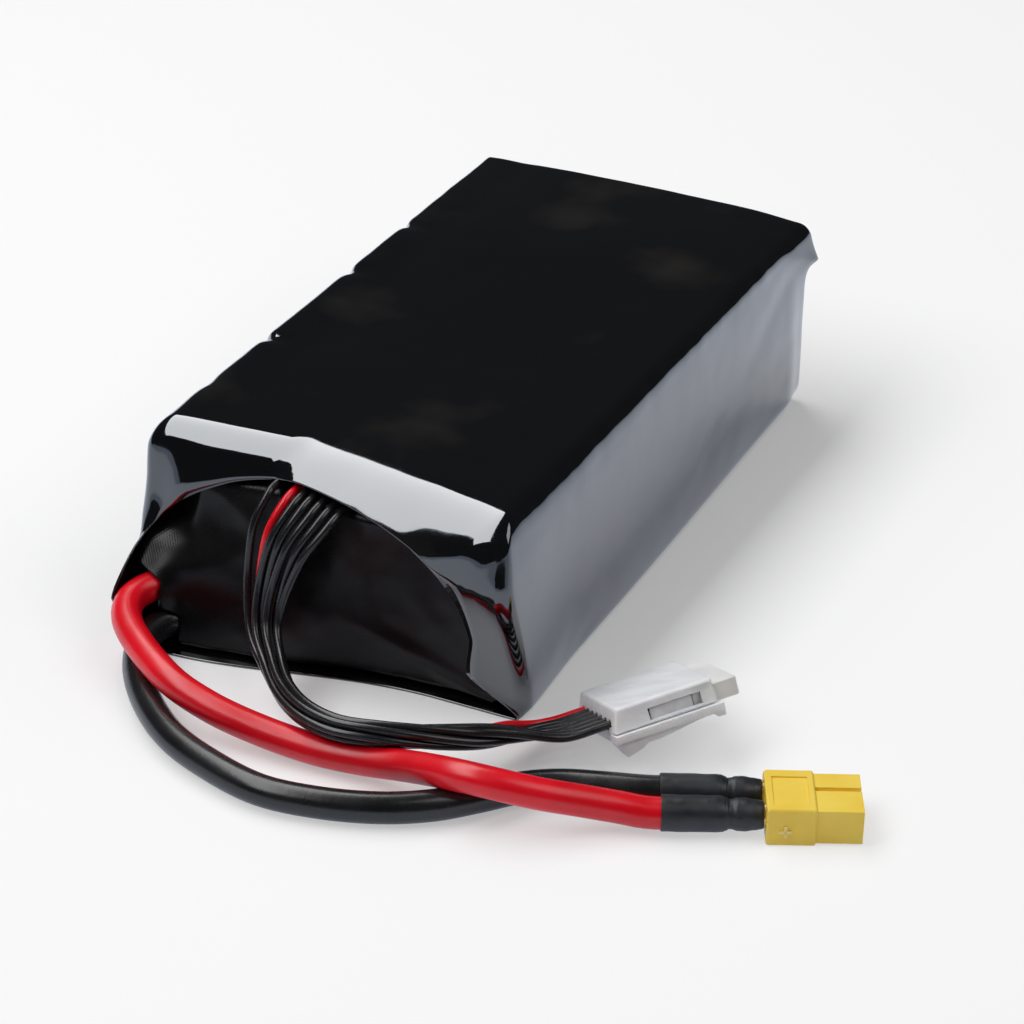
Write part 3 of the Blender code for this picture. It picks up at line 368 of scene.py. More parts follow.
NICKEL_LOOK = wear("nickel", (0.55, 0.53, 0.49), (0.68, 0.66, 0.62), 0.3, 150.0, 2200.0, 0.00001,
                   Metallic=1.0)
POUCH_LOOK = wear("pouch", (0.5, 0.51, 0.53), (0.62, 0.63, 0.65), 0.35, 60.0, 500.0, 0.0001, Metallic=0.8)
PAD_LOOK = wear("cell_pad", (0.66, 0.66, 0.63), (0.78, 0.78, 0.75), 0.8, 200.0, 1500.0, 0.0001)
PLATE_LOOK = wear("fibre_plate", (0.06, 0.06, 0.065), (0.1, 0.1, 0.105), 0.65, 300.0, 1500.0, 0.00005)
BOARD_LOOK = wear("tab_board", (0.006, 0.007, 0.007), (0.012, 0.013, 0.013), 0.4, 120.0, 900.0, 0.00003)
CLIP_LOOK = clip_look()

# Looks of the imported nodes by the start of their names, the first match taken
NODE_LOOKS = [
    ("cell_pad", PAD_LOOK), ("cell_", POUCH_LOOK), ("top_plate", PLATE_LOOK), ("bottom_plate", PLATE_LOOK),
    ("tab_board", BOARD_LOOK), ("series_link", NICKEL_LOOK), ("pack_tab", NICKEL_LOOK),
    ("plug_contact", NICKEL_LOOK), ("connector_socket", GOLD_LOOK), ("shrink_tube", TUBE_LOOK),
    ("connector_housing", YELLOW_LOOK), ("balance_plug", WHITE_LOOK), ("balance_clip", CLIP_LOOK),
    ("", CLOTH_LOOK),
]

for name, obj in NODES.items():
    chosen = next(material for start, material in NODE_LOOKS if name.startswith(start))
    obj.data.materials.clear()
    obj.data.materials.append(chosen)


# Moulded edges
WELD_DISTANCE = 2e-6
FLAT_ANGLE = math.radians(1.0)
SHARP_ANGLE = math.radians(40.0)


def round_edges(obj, width, segments):
    """Rounds sharp edges for the render."""
    bevel = obj.modifiers.new("round", "BEVEL")
    bevel.width = width
    bevel.segments = segments
    bevel.limit_method = "ANGLE"
    bevel.harden_normals = True
    return bevel


def soften(name, width, segments):
    """Rounds a node's moulded edges for the render, with the node's own mesh unchanged."""
    obj = NODES[name]
    weld = obj.modifiers.new("weld", "WELD")
    weld.merge_threshold = WELD_DISTANCE
    flatten = obj.modifiers.new("flatten", "DECIMATE")
    flatten.decimate_type = "DISSOLVE"
    flatten.angle_limit = FLAT_ANGLE
    round_edges(obj, width, segments).angle_limit = SHARP_ANGLE


def add_mesh(name, bm, material, body="pack"):
    """A smooth piece that rides a body."""
    mesh = bpy.data.meshes.new(name)
    bmesh.ops.recalc_face_normals(bm, faces=bm.faces)
    bm.to_mesh(mesh)
    bm.free()
    mesh.shade_smooth()
    mesh.materials.append(material)
    obj = bpy.data.objects.new(name, mesh)
    bpy.context.scene.collection.objects.link(obj)
    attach(obj, body)
    return obj


def thicken(obj, thickness, offset):
    """Gives an open surface its thickness."""
    skin = obj.modifiers.new("thickness", "SOLIDIFY")
    skin.thickness = thickness
    skin.offset = offset


def join_rings(bm, rings):
    """Faces between closed rings of the same number of points."""
    for first, second in zip(rings, rings[1:]):
        for k in range(len(first)):
            j = (k + 1) % len(first)
            bm.faces.new((first[k], first[j], second[j], second[k]))


# Film sleeve: its even form
def bay_face(x, z):
    """Y of the front bay's face: it swells forward low down on the side where the leads leave."""
    side = 1.0 - ramp(x, -HALF_WIDTH + BULGE_LEFT_MARGIN, HALF_WIDTH - BULGE_RIGHT_MARGIN)
    height = 1.0 - ramp(z, BULGE_FOOT, BULGE_TOP)
    return FRONT - FRONT_BULGE * side * height


def front_top(x):
    """Bend radius and face of the film's upper front: a tight bend left of the fold, a wide one right."""
    fold = ramp(x, *FOLD)
    left = min(1.0, (HALF_WIDTH + x) / (HALF_WIDTH + FOLD[1]))
    right = min(1.0, (HALF_WIDTH - x) / (HALF_WIDTH - FOLD[0]))
    values = []
    for low, high in ((LEFT_BEND, RIGHT_BEND), (LEFT_FACE, RIGHT_FACE)):
        first = low[0] + (low[1] - low[0]) * left
        second = high[0] + (high[1] - high[0]) * right
        values.append(first + (second - first) * fold)
    return values


def front_face(x, z):
    """Y of the film's front face: it leans out to its foot on the left and hangs over on the right."""
    top = front_top(x)[1]
    foot = bay_face(x, 0.0)
    height = min(1.0, max(0.0, z) / PACK_HEIGHT)
    rise = 1.0 - (1.0 - min(1.0, max(0.0, z) / EAVE_HIGH)) ** EAVE_RETURN
    eave = EAVE_SLOPE * (PACK_HEIGHT - max(z, EAVE_HIGH)) * rise * ramp(x, *EAVE_START)
    if top < foot:
        return foot + (top - foot) * rise - eave
    lean = foot + (top - foot) * height ** LEAN_POWER
    corner = bay_face(x, z) + (top - bay_face(x, PACK_HEIGHT)) * height ** CORNER_POWER
    return corner + (lean - corner) * ramp(x, *CORNER_LEAN) - eave


def front_bend(x, z):
    """Radius of the film's bend over the front end: widest along the middle of the top."""
    middle = max(0.0, 1.0 - (abs(x) / HALF_WIDTH) ** BEND_END_POWER)
    return END_ROUND + (front_top(x)[0] - END_ROUND) * middle * ramp(z, TOP_ROUND_START, PACK_HEIGHT)


def setback(bend, inward):
    """How far behind the face the bend still is at a distance inward."""
    return bend - math.sqrt(bend ** 2 - (bend - min(inward, bend)) ** 2)


def flare(x, y, z):
    """How far the film is pushed out to the left round the leads."""
    along = 1.0 - ramp(y, FRONT - FRONT_BULGE, FRONT - FRONT_BULGE + FLARE_RUN)
    height = (1.0 - ramp(z, FLARE_FADE_LOW, FLARE_FADE_HIGH)) * ramp(z, FLARE_FOOT_LOW, FLARE_FOOT_HIGH)
    side = 1.0 - ramp(x, -HALF_WIDTH, -HALF_WIDTH + FLARE_INWARD)
    return FLARE_WIDTH * along * height * side


def mouth_edge(x, z):
    """Edge of the front opening for a point of the full section: an uneven arch over the end face."""
    left = LIP_CROWN_X + HALF_WIDTH - LIP_LEFT_WIDTH
    right = HALF_WIDTH - LIP_RIGHT_WIDTH - LIP_CROWN_X
    crown = PACK_HEIGHT - LIP_CROWN_DROP - LIP_FOOT_HEIGHT
    angle = math.atan2(ARCH_RISE * z / PACK_HEIGHT, (x - LIP_CROWN_X) / HALF_WIDTH)
    reach = abs(math.cos(angle)) ** ARCH_WIDTH_POWER
    edge_x = LIP_CROWN_X + (right if math.cos(angle) > 0.0 else -left) * reach
    edge_z = LIP_FOOT_HEIGHT + crown * max(0.0, math.sin(angle)) ** ARCH_HEIGHT_POWER
    across, up = edge_x, edge_z
    for _ in range(LIP_TRIES):
        depth = front_face(across, up) + setback(front_bend(across, z), math.hypot(across - x, up - z))
        ahead = (bay_face(edge_x, edge_z) - depth) * ramp(z, LIP_FOOT_HEIGHT, LIP_FULL_HEIGHT)
        across = edge_x + LIP_FOLLOW[0] * ahead
        up = min(edge_z + LIP_FOLLOW[1] * ahead, PACK_HEIGHT - LIP_MARGIN)
    return across, up


def front_film(x, z, share):
    """Point of the film before a point of the full section, from the bend's start, 0, to the edge, 1."""
    edge_x, edge_z = mouth_edge(x, z)
    bend = front_bend(x, z)
    width = math.hypot(edge_x - x, edge_z - z)
    turned_in = min(bend, BEND_SHARE * width)
    last_turn = math.acos(1.0 - turned_in / bend)
    if share <= BEND_PART:
        inward = bend * (1.0 - math.cos(last_turn * share / BEND_PART))
    else:
        inward = turned_in + (width - turned_in) * (share - BEND_PART) / (1.0 - BEND_PART)
    px = x + (edge_x - x) * inward / width
    pz = z + (edge_z - z) * inward / width
    face = front_face(x, z)
    opened = flare(x, face, z) / FLARE_WIDTH
    sill = 1.0 - ramp(z, 0.0, CORNER_RADIUS)
    bent = Vector((px, front_face(px, pz) + setback(front_bend(px, z), inward), pz))
    ahead = face + bend - share * (bend + SILL_REACH)
    bent = bent.lerp(Vector((x - FLARE_WIDTH * opened, ahead, z)), sill)
    ahead = face + bend - share * (bend + FLARE_REACH)
    return bent.lerp(Vector((x - flare(x, ahead, z), ahead, z)), opened)


def section(inset, aft=0.0, rounder=0.0):
    """Rounded rectangle in X and Z with outward directions, for the front, 0, to the rear, 1."""
    half = HALF_WIDTH - inset
    radii = []
    for ahead, behind in zip(FRONT_RADII, REAR_RADII):
        radii.append(max(ahead + (behind - ahead) * aft - inset, LEAST_RADIUS) + rounder)
    sides = (1, 1, -1, -1)
    lows = (True, False, False, True)
    corners = []
    for radius, side, low in zip(radii, sides, lows):
        corners.append((side * (half - radius), inset + radius if low else PACK_HEIGHT - inset - radius))
    spans = (SIDE_SPANS, FACE_SPANS, SIDE_SPANS, FACE_SPANS)
    points = []
    for k in range(4):
        start = 90 * k - 90
        for step in range(CORNER_STEPS + 1):
            angle = math.radians(start + 90 * step / CORNER_STEPS)
            out = (math.cos(angle), math.sin(angle))
            points.append((corners[k][0] + radii[k] * out[0], corners[k][1] + radii[k] * out[1], out))
        j = (k + 1) % 4
        before = points[-1]
        after = (corners[j][0] + radii[j] * out[0], corners[j][1] + radii[j] * out[1])
        for step in range(1, spans[k]):
            t = step / spans[k]
            x = before[0] + (after[0] - before[0]) * t
            z = before[1] + (after[1] - before[1]) * t
            points.append((x, z, out))
    return points


# Film sleeve: slow bulges, each with its size and where it fades
SIDE_FULL = 0.010
SIDE_EMPTY = 0.042
SIDE_POWER = 1.6
SIDE_FOOT_DRAW = 0.25
SIDE_BULGES = ((0.0014, -0.035, 0.075), (0.0012, FRONT, -0.05), (0.0012, 0.066, REAR))
CORNER_BULGE = 0.0034
CORNER_BULGE_ALONG = (-0.075, -0.048)
CORNER_BULGE_INNER = -0.026
CORNER_BULGE_RISE = (0.013, 0.026)
CORNER_BULGE_TOP = 0.039
CORNER_BULGE_DRAW = 0.6
TOP_BAND = 0.006
CROWN = 0.0017
CROWN_ALONG = (-0.02, 0.06)
CROWN_POWER = 4
LEFT_LIFT = Vector((-0.0006, 0.0, 0.0008))
LEFT_LIFT_INNER = -0.03
LEFT_LIFT_FOOT = 0.03
LEFT_LIFT_ALONG = (-0.072, -0.055)


def swell(x, y, z):
    """Slow bulges of the film: low along the right side, round the left front corner and over the top."""
    above = min(1.0, max(0.0, z - SIDE_FULL) / (SIDE_EMPTY - SIDE_FULL))
    below = max(0.0, SIDE_FULL - z) / SIDE_FULL
    low = 1.0 - above ** SIDE_POWER - SIDE_FOOT_DRAW * below ** 2
    along = sum(size * (1.0 - ramp(y, start, end)) for size, start, end in SIDE_BULGES)
    move = Vector((along * low * ramp(x, 0.0, HALF_WIDTH), 0.0, 0.0))
    corner = (1.0 - ramp(y, *CORNER_BULGE_ALONG)) * (1.0 - ramp(x, -HALF_WIDTH, CORNER_BULGE_INNER))
    drawn_in = 1.0 - CORNER_BULGE_DRAW * ramp(z, CORNER_BULGE_TOP, PACK_HEIGHT)
    move.x -= CORNER_BULGE * corner * ramp(z, *CORNER_BULGE_RISE) * drawn_in
    crown = ramp(z, PACK_HEIGHT - TOP_BAND, PACK_HEIGHT) * (1.0 - (x / HALF_WIDTH) ** CROWN_POWER)
    move.z += CROWN * crown * ramp(y, *CROWN_ALONG)
    left = 1.0 - ramp(x, -HALF_WIDTH, LEFT_LIFT_INNER)
    move += LEFT_LIFT * (left * ramp(z, LEFT_LIFT_FOOT, PACK_HEIGHT) * ramp(y, *LEFT_LIFT_ALONG))
    return move


# Film sleeve: small waves, with their size, waves across and along, and shift
WAVES = ((0.00016, 55.0, 38.0, 0.0), (0.00007, 170.0, 120.0, 3.1))
WAVE_FOOT = (0.001, 0.006)
# Ripples of the top edges: shift and pitch of the coarse and of the fine ones, and the share of the fine
LEFT_RIPPLE = (1.7, 95.0, 5.2, 260.0, 0.5)
RIGHT_RIPPLE = (8.7, 80.0, 2.2, 230.0, 0.6)
RIPPLE_LEVEL = 0.3
FINE_RIPPLE_LEVEL = 0.9
LEFT_RIPPLE_MOVE = Vector((0.3, 0.0, 0.7)) * 0.00035
RIGHT_RIPPLE_MOVE = Vector((0.6, 0.0, 0.5)) * 0.0004
LEFT_BAND = 0.007
RIGHT_BAND = 0.006
# Creases along the left top edge, where the film is nicked: distance along the pack, depth and half width
NICKS = [(-0.0315, 0.0012, 0.0016), (0.0060, 0.0009, 0.0021), (0.0330, 0.0008, 0.0018),
         (-0.055, 0.0004, 0.003)]
NICK_FALL = 0.8
# Folded film at the right rear corner: a ridge that leaves the top edge, drops and stands out
EAR_START = 0.060
EAR_DROP = 0.0090
EAR_REACH = 0.0034
EAR_UNDERCUT = 0.0016
EAR_POWER = 1.4
EAR_INWARD = 0.010
EAR_OUT = 0.9
EAR_BACK = 0.35
LEAST_DROP = 0.0001
# Slanting pull across the right side
PULL_DEPTH = 0.00022
PULL_HEIGHT = 0.021
PULL_MIDDLE = 0.03
PULL_SLOPE = 0.42
PULL_WIDTH = 0.004
PULL_ALONG = (0.0, 0.05)


def edge_ripple(y, shift, pitch, fine_shift, fine_pitch, fine_share):
    """Uneven ripple along a top edge."""
    coarse = noise.noise(Vector((shift, y * pitch, RIPPLE_LEVEL)))
    fine = noise.noise(Vector((fine_shift, y * fine_pitch, FINE_RIPPLE_LEVEL)))
    return coarse + fine_share * fine


def ear_move(x, y, z):
    """Fold of loose film at the right rear corner."""
    share = min(1.0, max(0.0, y - EAR_START) / (REAR - EAR_START))
    ridge = PACK_HEIGHT - EAR_DROP * share
    if z > ridge:
        ear = (PACK_HEIGHT - z) / max(PACK_HEIGHT - ridge, LEAST_DROP)
    else:
        ear = math.exp(-(ridge - z) / EAR_UNDERCUT)
    ear *= share ** EAR_POWER * ramp(x, HALF_WIDTH - EAR_INWARD, HALF_WIDTH)
    return Vector((EAR_OUT, EAR_BACK * share, 0.0)) * EAR_REACH * ear


def crumple(point, out):
    """Small moves that turn the even sleeve into shrunk film: waves, nicks, ripples and the folded corner."""
    x, y, z = point
    wave = 0.0
    for size, across, along, shift in WAVES:
        wave += size * noise.noise(Vector((x * across + shift, y * along, z * across)))
    move = Vector((out[0], 0.0, out[1])) * wave * ramp(z, *WAVE_FOOT)
    top = ramp(z, PACK_HEIGHT - TOP_BAND, PACK_HEIGHT)
    left = 1.0 - ramp(x, -HALF_WIDTH, -HALF_WIDTH + LEFT_BAND)
    right = ramp(x, HALF_WIDTH - RIGHT_BAND, HALF_WIDTH)
    for place, depth, width in NICKS:
        move += Vector((depth, 0.0, -depth * NICK_FALL)) * hill(y, place, width) * top * left
    move += LEFT_RIPPLE_MOVE * edge_ripple(y, *LEFT_RIPPLE) * top * left
    move += RIGHT_RIPPLE_MOVE * edge_ripple(y, *RIGHT_RIPPLE) * top * right
    move += ear_move(x, y, z)
    pull = hill(z - PULL_HEIGHT - PULL_SLOPE * (y - PULL_MIDDLE), 0.0, PULL_WIDTH)
    move.x -= PULL_DEPTH * pull * ramp(y, *PULL_ALONG) * right
    return move


def rear_rings():
    """Rings of the film at the rear: its uneven turned-in edge, then the round to the sides."""
    rings = []
    for share in REAR_LIP_RINGS:
        ring = []
        for x, z, out in section(REAR_LIP * share, 1.0, REAR_LIP_ROUND * share):
            place = Vector((x * REAR_LIP_WAVES, REAR_LIP_SHIFT, z * REAR_LIP_WAVES))
            uneven = REAR_LIP_UNEVEN * share ** 2 * noise.noise(place)
            ring.append(((x + out[0] * uneven, REAR, z + out[1] * uneven), out))
        rings.append(ring)
    for step in range(REAR_STEPS + 1):
        turn = math.pi / 2 * (1.0 - step / REAR_STEPS)
        inset = REAR_ROUND * (1.0 - math.cos(turn))
        y = REAR - REAR_ROUND * (1.0 - math.sin(turn))
        rings.append([((x, y, z), out) for x, z, out in section(inset, 1.0)])
    return rings


def film_sleeve():
    """The sleeve from its rear edge, along the pack and round the front bend to the lip of its mouth."""
    rings = rear_rings()
    start = REAR - REAR_ROUND
    for k in range(1, LENGTH_STEPS):
        ring = []
        for x, z, out in section(0.0, 1.0 - k / LENGTH_STEPS):
            end = front_face(x, z) + front_bend(x, z)
            y = start + (end - start) * k / LENGTH_STEPS
            ring.append(((x - flare(x, y, z), y, z), out))
        rings.append(ring)
    full = section(0.0)
    for step in range(FRONT_STEPS + 1):
        rings.append([(front_film(x, z, step / FRONT_STEPS), out) for x, z, out in full])
    bm = bmesh.new()
    verts = []
    for ring in rings:
        verts.append([bm.verts.new(Vector(p) + swell(*p) + crumple(p, out)) for p, out in ring])
    join_rings(bm, verts)
    sleeve = add_mesh("film_sleeve", bm, FILM_LOOK)
    thicken(sleeve, FILM, -1.0)
    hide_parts("shrink_sleeve")


film_sleeve()

# Woven tape behind the mouth: its place, and its left border with a step past each lead
TAPE_GAP = 0.0021
TAPE_RISE = 0.0022
TAPE_THICKNESS = 0.0004
TAPE_SPANS = (100, 60)
TAPE_BORDER = -0.0318
TAPE_STEPS = ((0.0040, 0.0066, 0.0088), (0.0062, 0.0140, 0.0168))
# Slack of the cloth: size, waves across and up, and shift
TAPE_SLACK = ((0.0005, 70.0, 60.0, 0.4), (0.0002, 210.0, 190.0, 2.0))
TAPE_LEAST_SLACK = -0.0006
# Slanting crease on the right: size, height, place across, slope, half width and where it fades in
CREASE = 0.0007
CREASE_HEIGHT = 0.010
CREASE_X = 0.010
CREASE_SLOPE = 0.35
CREASE_WIDTH = 0.0022
CREASE_ACROSS = (-0.002, 0.012)
# Hood over the leads on the left, and how the cloth goes back along its top
HOOD = 0.0028
HOOD_ACROSS = (-0.038, -0.030)
HOOD_HEIGHT = 0.0125
HOOD_WIDTH = 0.006
TOP_BACK = 0.0045
TOP_BACK_RISE = (0.0345, 0.0385)
LEFT_BACK = 0.004
LEFT_BACK_RISE = (0.020, 0.028)


def tape_border(z):
    """X of the cloth's left border: it keeps clear of both leads and hangs over them like a hood."""
    return TAPE_BORDER - sum(size * ramp(z, low, high) for size, low, high in TAPE_STEPS)


def tape_depth(x, z):
    """Y of the cloth: behind the film's face, slack and creased, and forward over the leads."""
    slack = 0.0
    for size, across, up, shift in TAPE_SLACK:
        slack += size * noise.noise(Vector((x * across, z * up, shift)))
    crease = CREASE * hill(z - CREASE_HEIGHT + CREASE_SLOPE * (x - CREASE_X), 0.0, CREASE_WIDTH)
    left = 1.0 - ramp(x, *HOOD_ACROSS)
    back = TOP_BACK * ramp(z, *TOP_BACK_RISE) + LEFT_BACK * left * ramp(z, *LEFT_BACK_RISE)
    hood = HOOD * left * hill(z, HOOD_HEIGHT, HOOD_WIDTH)
    face = max(front_face(x, z), bay_face(x, z)) + TAPE_GAP
    return face + max(TAPE_LEAST_SLACK, slack) - crease * ramp(x, *CREASE_ACROSS) + back - hood


def tape_face():
    """Cloth across the front bay."""
    low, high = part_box("front_cloth_cover")
    bm = bmesh.new()
    bmesh.ops.create_grid(bm, x_segments=TAPE_SPANS[0], y_segments=TAPE_SPANS[1], size=0.5)
    for vert in bm.verts:
        z = low.z + (vert.co.y + 0.5) * (high.z + TAPE_RISE - low.z)
        border = tape_border(z)
        x = border + (vert.co.x + 0.5) * (high.x - border)
        vert.co = (x, tape_depth(x, z), z)
    face = add_mesh("tape_face", bm, CLOTH_LOOK)
    thicken(face, TAPE_THICKNESS, 0.0)
    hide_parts("front_cloth_cover")


tape_face()


# Cords
def smooth_curve(points, step=None, count=None):
    """Points along a smooth curve through the route's own points, and each one's share of its length."""
    dense = []
    marks = [0]
    padded = [points[0] * 2 - points[1]] + points + [points[-1] * 2 - points[-2]]
    for a, b, c, d in zip(padded, padded[1:], padded[2:], padded[3:]):
        for k in range(CURVE_STEPS):
            t = k / CURVE_STEPS
            dense.append(0.5 * (2 * b + (c - a) * t + (2 * a - 5 * b + 4 * c - d) * t ** 2
                                + (3 * b - a - 3 * c + d) * t ** 3))
        marks.append(len(dense))
    dense.append(points[-1])
    lengths = [0.0]
    for first, second in zip(dense, dense[1:]):
        lengths.append(lengths[-1] + (second - first).length)
    count = count or max(2, round(lengths[-1] / step) + 1)
    samples = []
    index = 0
    for k in range(count):
        goal = lengths[-1] * k / (count - 1)
        while index < len(dense) - 2 and lengths[index + 1] < goal:
            index += 1
        span = lengths[index + 1] - lengths[index]
        samples.append(dense[index].lerp(dense[index + 1], (goal - lengths[index]) / span))
    return samples, [lengths[m] / lengths[-1] for m in marks]


def lead(name, points, diameter, material, node_name):
    """One cord along the given points, in place of the imported cord node, which it hides."""
    curve = bpy.data.curves.new(name, "CURVE")
    curve.dimensions = "3D"
    curve.bevel_depth = diameter / 2
    curve.bevel_resolution = LEAD_BEVEL_STEPS
    curve.use_fill_caps = True
    spline = curve.splines.new("POLY")
    spline.points.add(len(points) - 1)
    for point, place in zip(spline.points, points):
        point.co = (*place, 1.0)
    spline.use_smooth = True
    curve.materials.append(material)
    obj = bpy.data.objects.new(name, curve)
    bpy.context.scene.collection.objects.link(obj)
    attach(obj, "pack")
    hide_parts(node_name)


# Shrunk tube: distances behind the connector with the tube's radius there
TUBE_PROFILE = [
    (0.0, 0.00262), (0.0004, 0.00276), (0.0018, 0.00296), (0.0036, 0.00322), (0.0050, 0.00318),
    (0.0060, 0.00292), (0.0065, 0.00288), (0.0071, 0.00318), (0.0077, 0.00340), (0.0090, 0.00350),
    (0.0150, 0.00355), (0.0190, 0.00353), (0.0194, 0.00350), (0.01942, 0.00330), (0.0188, 0.00322),
]
TUBE_SPANS = 5
TUBE_SIDES = 48
TUBE_DENT = 0.00007
TUBE_DENT_PITCH = 420.0
TUBE_DENT_TURNS = 2.2
TUBE_GAP = 0.00003


def heat_tube(pole, side):
    """Shrunk tube over one joint: full over the lead, drawn in behind the cup and swollen over it."""
    spread = []
    for (x0, r0), (x1, r1) in zip(TUBE_PROFILE, TUBE_PROFILE[1:]):
        for k in range(TUBE_SPANS):
            t = k / TUBE_SPANS
            spread.append((x0 + (x1 - x0) * t, r0 + (r1 - r0) * ramp(t, 0.0, 1.0)))
    spread.append(TUBE_PROFILE[-1])
    bm = bmesh.new()
    rings = []
    for x, radius in spread:
        ring = []
        for k in range(TUBE_SIDES):
            turn = math.tau * k / TUBE_SIDES
            across, up = math.cos(turn), math.sin(turn)
            place = Vector((x * TUBE_DENT_PITCH + side, across * TUBE_DENT_TURNS, up * TUBE_DENT_TURNS))
            full = min(radius + TUBE_DENT * noise.noise(place), POLE_PITCH / 2 - TUBE_GAP)
            local = Vector((-CLEARANCE - x, side * POLE_PITCH / 2 + across * full, POLE_HEIGHT + up * full))
            ring.append(bm.verts.new(CONNECTOR_FRAME @ local))
        rings.append(ring)
    join_rings(bm, rings)
    piece = add_mesh("heat_tube_" + pole, bm, TUBE_LOOK)
    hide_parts("shrink_tube_" + pole)
    return piece


for pole, route, side, material, slot in (("positive", POSITIVE_ROUTE, -1, RED_LOOK, "lead_red"),
                                          ("negative", NEGATIVE_ROUTE, 1, BLACK_LOOK, "lead_black")):
    places = [Vector(p) * MM for p in route]
    for x in (-TUBE_LENGTH - LEAD_DIAMETER / 2, -TUBE_LENGTH + LEAD_DIAMETER, -TUBE_NECK - CLEARANCE):
        places.append(CONNECTOR_FRAME @ Vector((x, side * POLE_PITCH / 2, POLE_HEIGHT)))
    samples, _ = smooth_curve(places, step=LEAD_STEP)
    carried = [heat_tube(pole, side), NODES["connector_socket_" + pole]]
    if pole == "positive":
        carried.append(NODES["connector_housing"])
    lead("lead_" + pole, samples, LEAD_DIAMETER, material, "main_lead_" + pole)


def plug_place(wire):
    """Place of a wire in the plug's row: the first two wires cross on the way."""
    return 1 - wire if wire < 2 else wire


def balance_wires():
    """Seven wires on one spine: a row at the mouth, a round bundle on the way, a row at the plug."""
    count = BALANCE_POINTS
    points = [Vector(p) * MM for p in BUNDLE_ROUTE]
    for x in (0.0, PLUG_START):
        points.append(CLIP_FRAME @ Vector((x, 0.0, PLUG_MIDDLE)))
    spine, shares = smooth_curve(points, count=count)
    tangents = [(spine[min(k + 1, count - 1)] - spine[max(k - 1, 0)]).normalized() for k in range(count)]
    sides = [Vector((1.0, 0.0, 0.0))]
    for ahead in tangents[1:]:
        sides.append((sides[-1] - ahead * sides[-1].dot(ahead)).normalized())
    row_end = -CLIP_TURN.to_3x3().col[1]
    twist = math.atan2(tangents[-1].cross(sides[-1]).dot(row_end), sides[-1].dot(row_end))
    middle = (BALANCE_COUNT - 1) / 2
    paths = [[] for _ in range(BALANCE_COUNT)]
    for k, point in enumerate(spine):
        share = k / (count - 1)
        gathered = ramp(share, shares[GATHER[0]], shares[GATHER[1]])
        turned = twist * ramp(share, shares[TURN[0]], shares[TURN[1]])
        opened = ramp(share, shares[SPREAD[0]], shares[SPREAD[1]])
        over = tangents[k].cross(sides[k])
        across = sides[k] * math.cos(turned) + over * math.sin(turned)
        over = tangents[k].cross(across)
        for wire in range(BALANCE_COUNT):
            row = (wire - middle) * EXIT_PITCH - (EXIT_FIRST_STEP if wire == 0 else 0.0)
            packed = PACKED[wire]
            spread = (plug_place(wire) - middle) * PLUG_PITCH
            bundled = row * (1 - gathered) + packed[0] * PACKED_PITCH * gathered
            sideways = bundled * (1 - opened) + spread * opened
            fall = EXIT_TILT * max(0.0, row) * (1 - gathered)
            bow = CROSSOVER_BOW * math.sin(math.pi * opened) if wire == 1 else 0.0
            upward = packed[1] * PACKED_PITCH * gathered * (1 - opened) - fall - bow
            paths[wire].append(point + across * sideways + over * upward)
    return paths


for wire, path in enumerate(balance_wires()):
    red = wire == 1
    carried = [NODES[f"plug_contact_{BALANCE_COUNT - plug_place(wire)}"]]
    if wire == 0:
        carried += [NODES["balance_plug"], NODES["balance_clip_base"], NODES["balance_clip_cover"]]
    lead(f"balance_wire_{wire + 1}", path, BALANCE_DIAMETER, RED_LOOK if red else BLACK_LOOK,
         f"balance_lead_{wire + 1}")

# Small mouldings on the connector and the clip
HOUSING_ROUND = 0.00035
HOUSING_ROUND_STEPS = 3
PLUS_FACE = -0.008
PLUS_X = 0.0036
PLUS_Z = 0.0032
PLUS_ARM = 0.00125
PLUS_HALF_BAR = 0.0003
PLUS_PROUD = 0.00035
PLUS_ROUND = 0.00008
LATCH_LOW = (0.0083, -0.0100, -0.0004)
LATCH_HIGH = (0.0172, -0.0096, 0.0030)
LATCH_ROUND = 0.0001
BAR_ROUND_STEPS = 2


def bars(name, boxes, material, place, round_width):
    """Rounded bars given by their two corners in a frame of their own."""
    bm = bmesh.new()
    for low, high in boxes:
        made = bmesh.ops.create_cube(bm, size=1.0)["verts"]
        for vert in made:
            vert.co = Vector([l + (c + 0.5) * (h - l) for l, h, c in zip(low, high, vert.co)])
    for vert in bm.verts:
        vert.co = place @ vert.co
    piece = add_mesh(name, bm, material)
    round_edges(piece, round_width, BAR_ROUND_STEPS)


def plus_bar(half_width, half_height):
    """Two corners of one bar of the plus sign, half sunk in the connector's side."""
    low = (PLUS_X - half_width, PLUS_FACE - PLUS_PROUD, PLUS_Z - half_height)
    high = (PLUS_X + half_width, PLUS_FACE + PLUS_PROUD, PLUS_Z + half_height)
    return low, high


soften("connector_housing", HOUSING_ROUND, HOUSING_ROUND_STEPS)
# The plus sign gets the lighter yellow, a painted highlight.
bars("plus_mark", [plus_bar(PLUS_ARM, PLUS_HALF_BAR), plus_bar(PLUS_HALF_BAR, PLUS_ARM)], PLUS_PAINTED_HIGHLIGHT_LOOK,
     CONNECTOR_FRAME, PLUS_ROUND)
bars("latch_tab", [(LATCH_LOW, LATCH_HIGH)], CLIP_LOOK, CLIP_FRAME, LATCH_ROUND)

# Floor: distances from the middle with the height there, rising to a low rim
FLOOR_PROFILE = ((0.02, 0.0), (0.3, 0.0), (1.0, 0.0), (4.2, 0.0), (4.6, 0.04), (4.9, 0.14), (5.0, 0.25))
FLOOR_SIDES = 64
FLOOR_DROP = 0.0001
FLOOR_COLOUR = (0.93, 0.93, 0.94, 1.0)
# Colour of the floor's own glow where it is seen directly, and the painted blue tint it takes where it is
# seen in reflections
GLOW_SEEN = (1.0, 1.0, 1.0, 1.0)
PAINTED_REFLECTION_TINT = (0.74, 0.82, 1.0, 1.0)
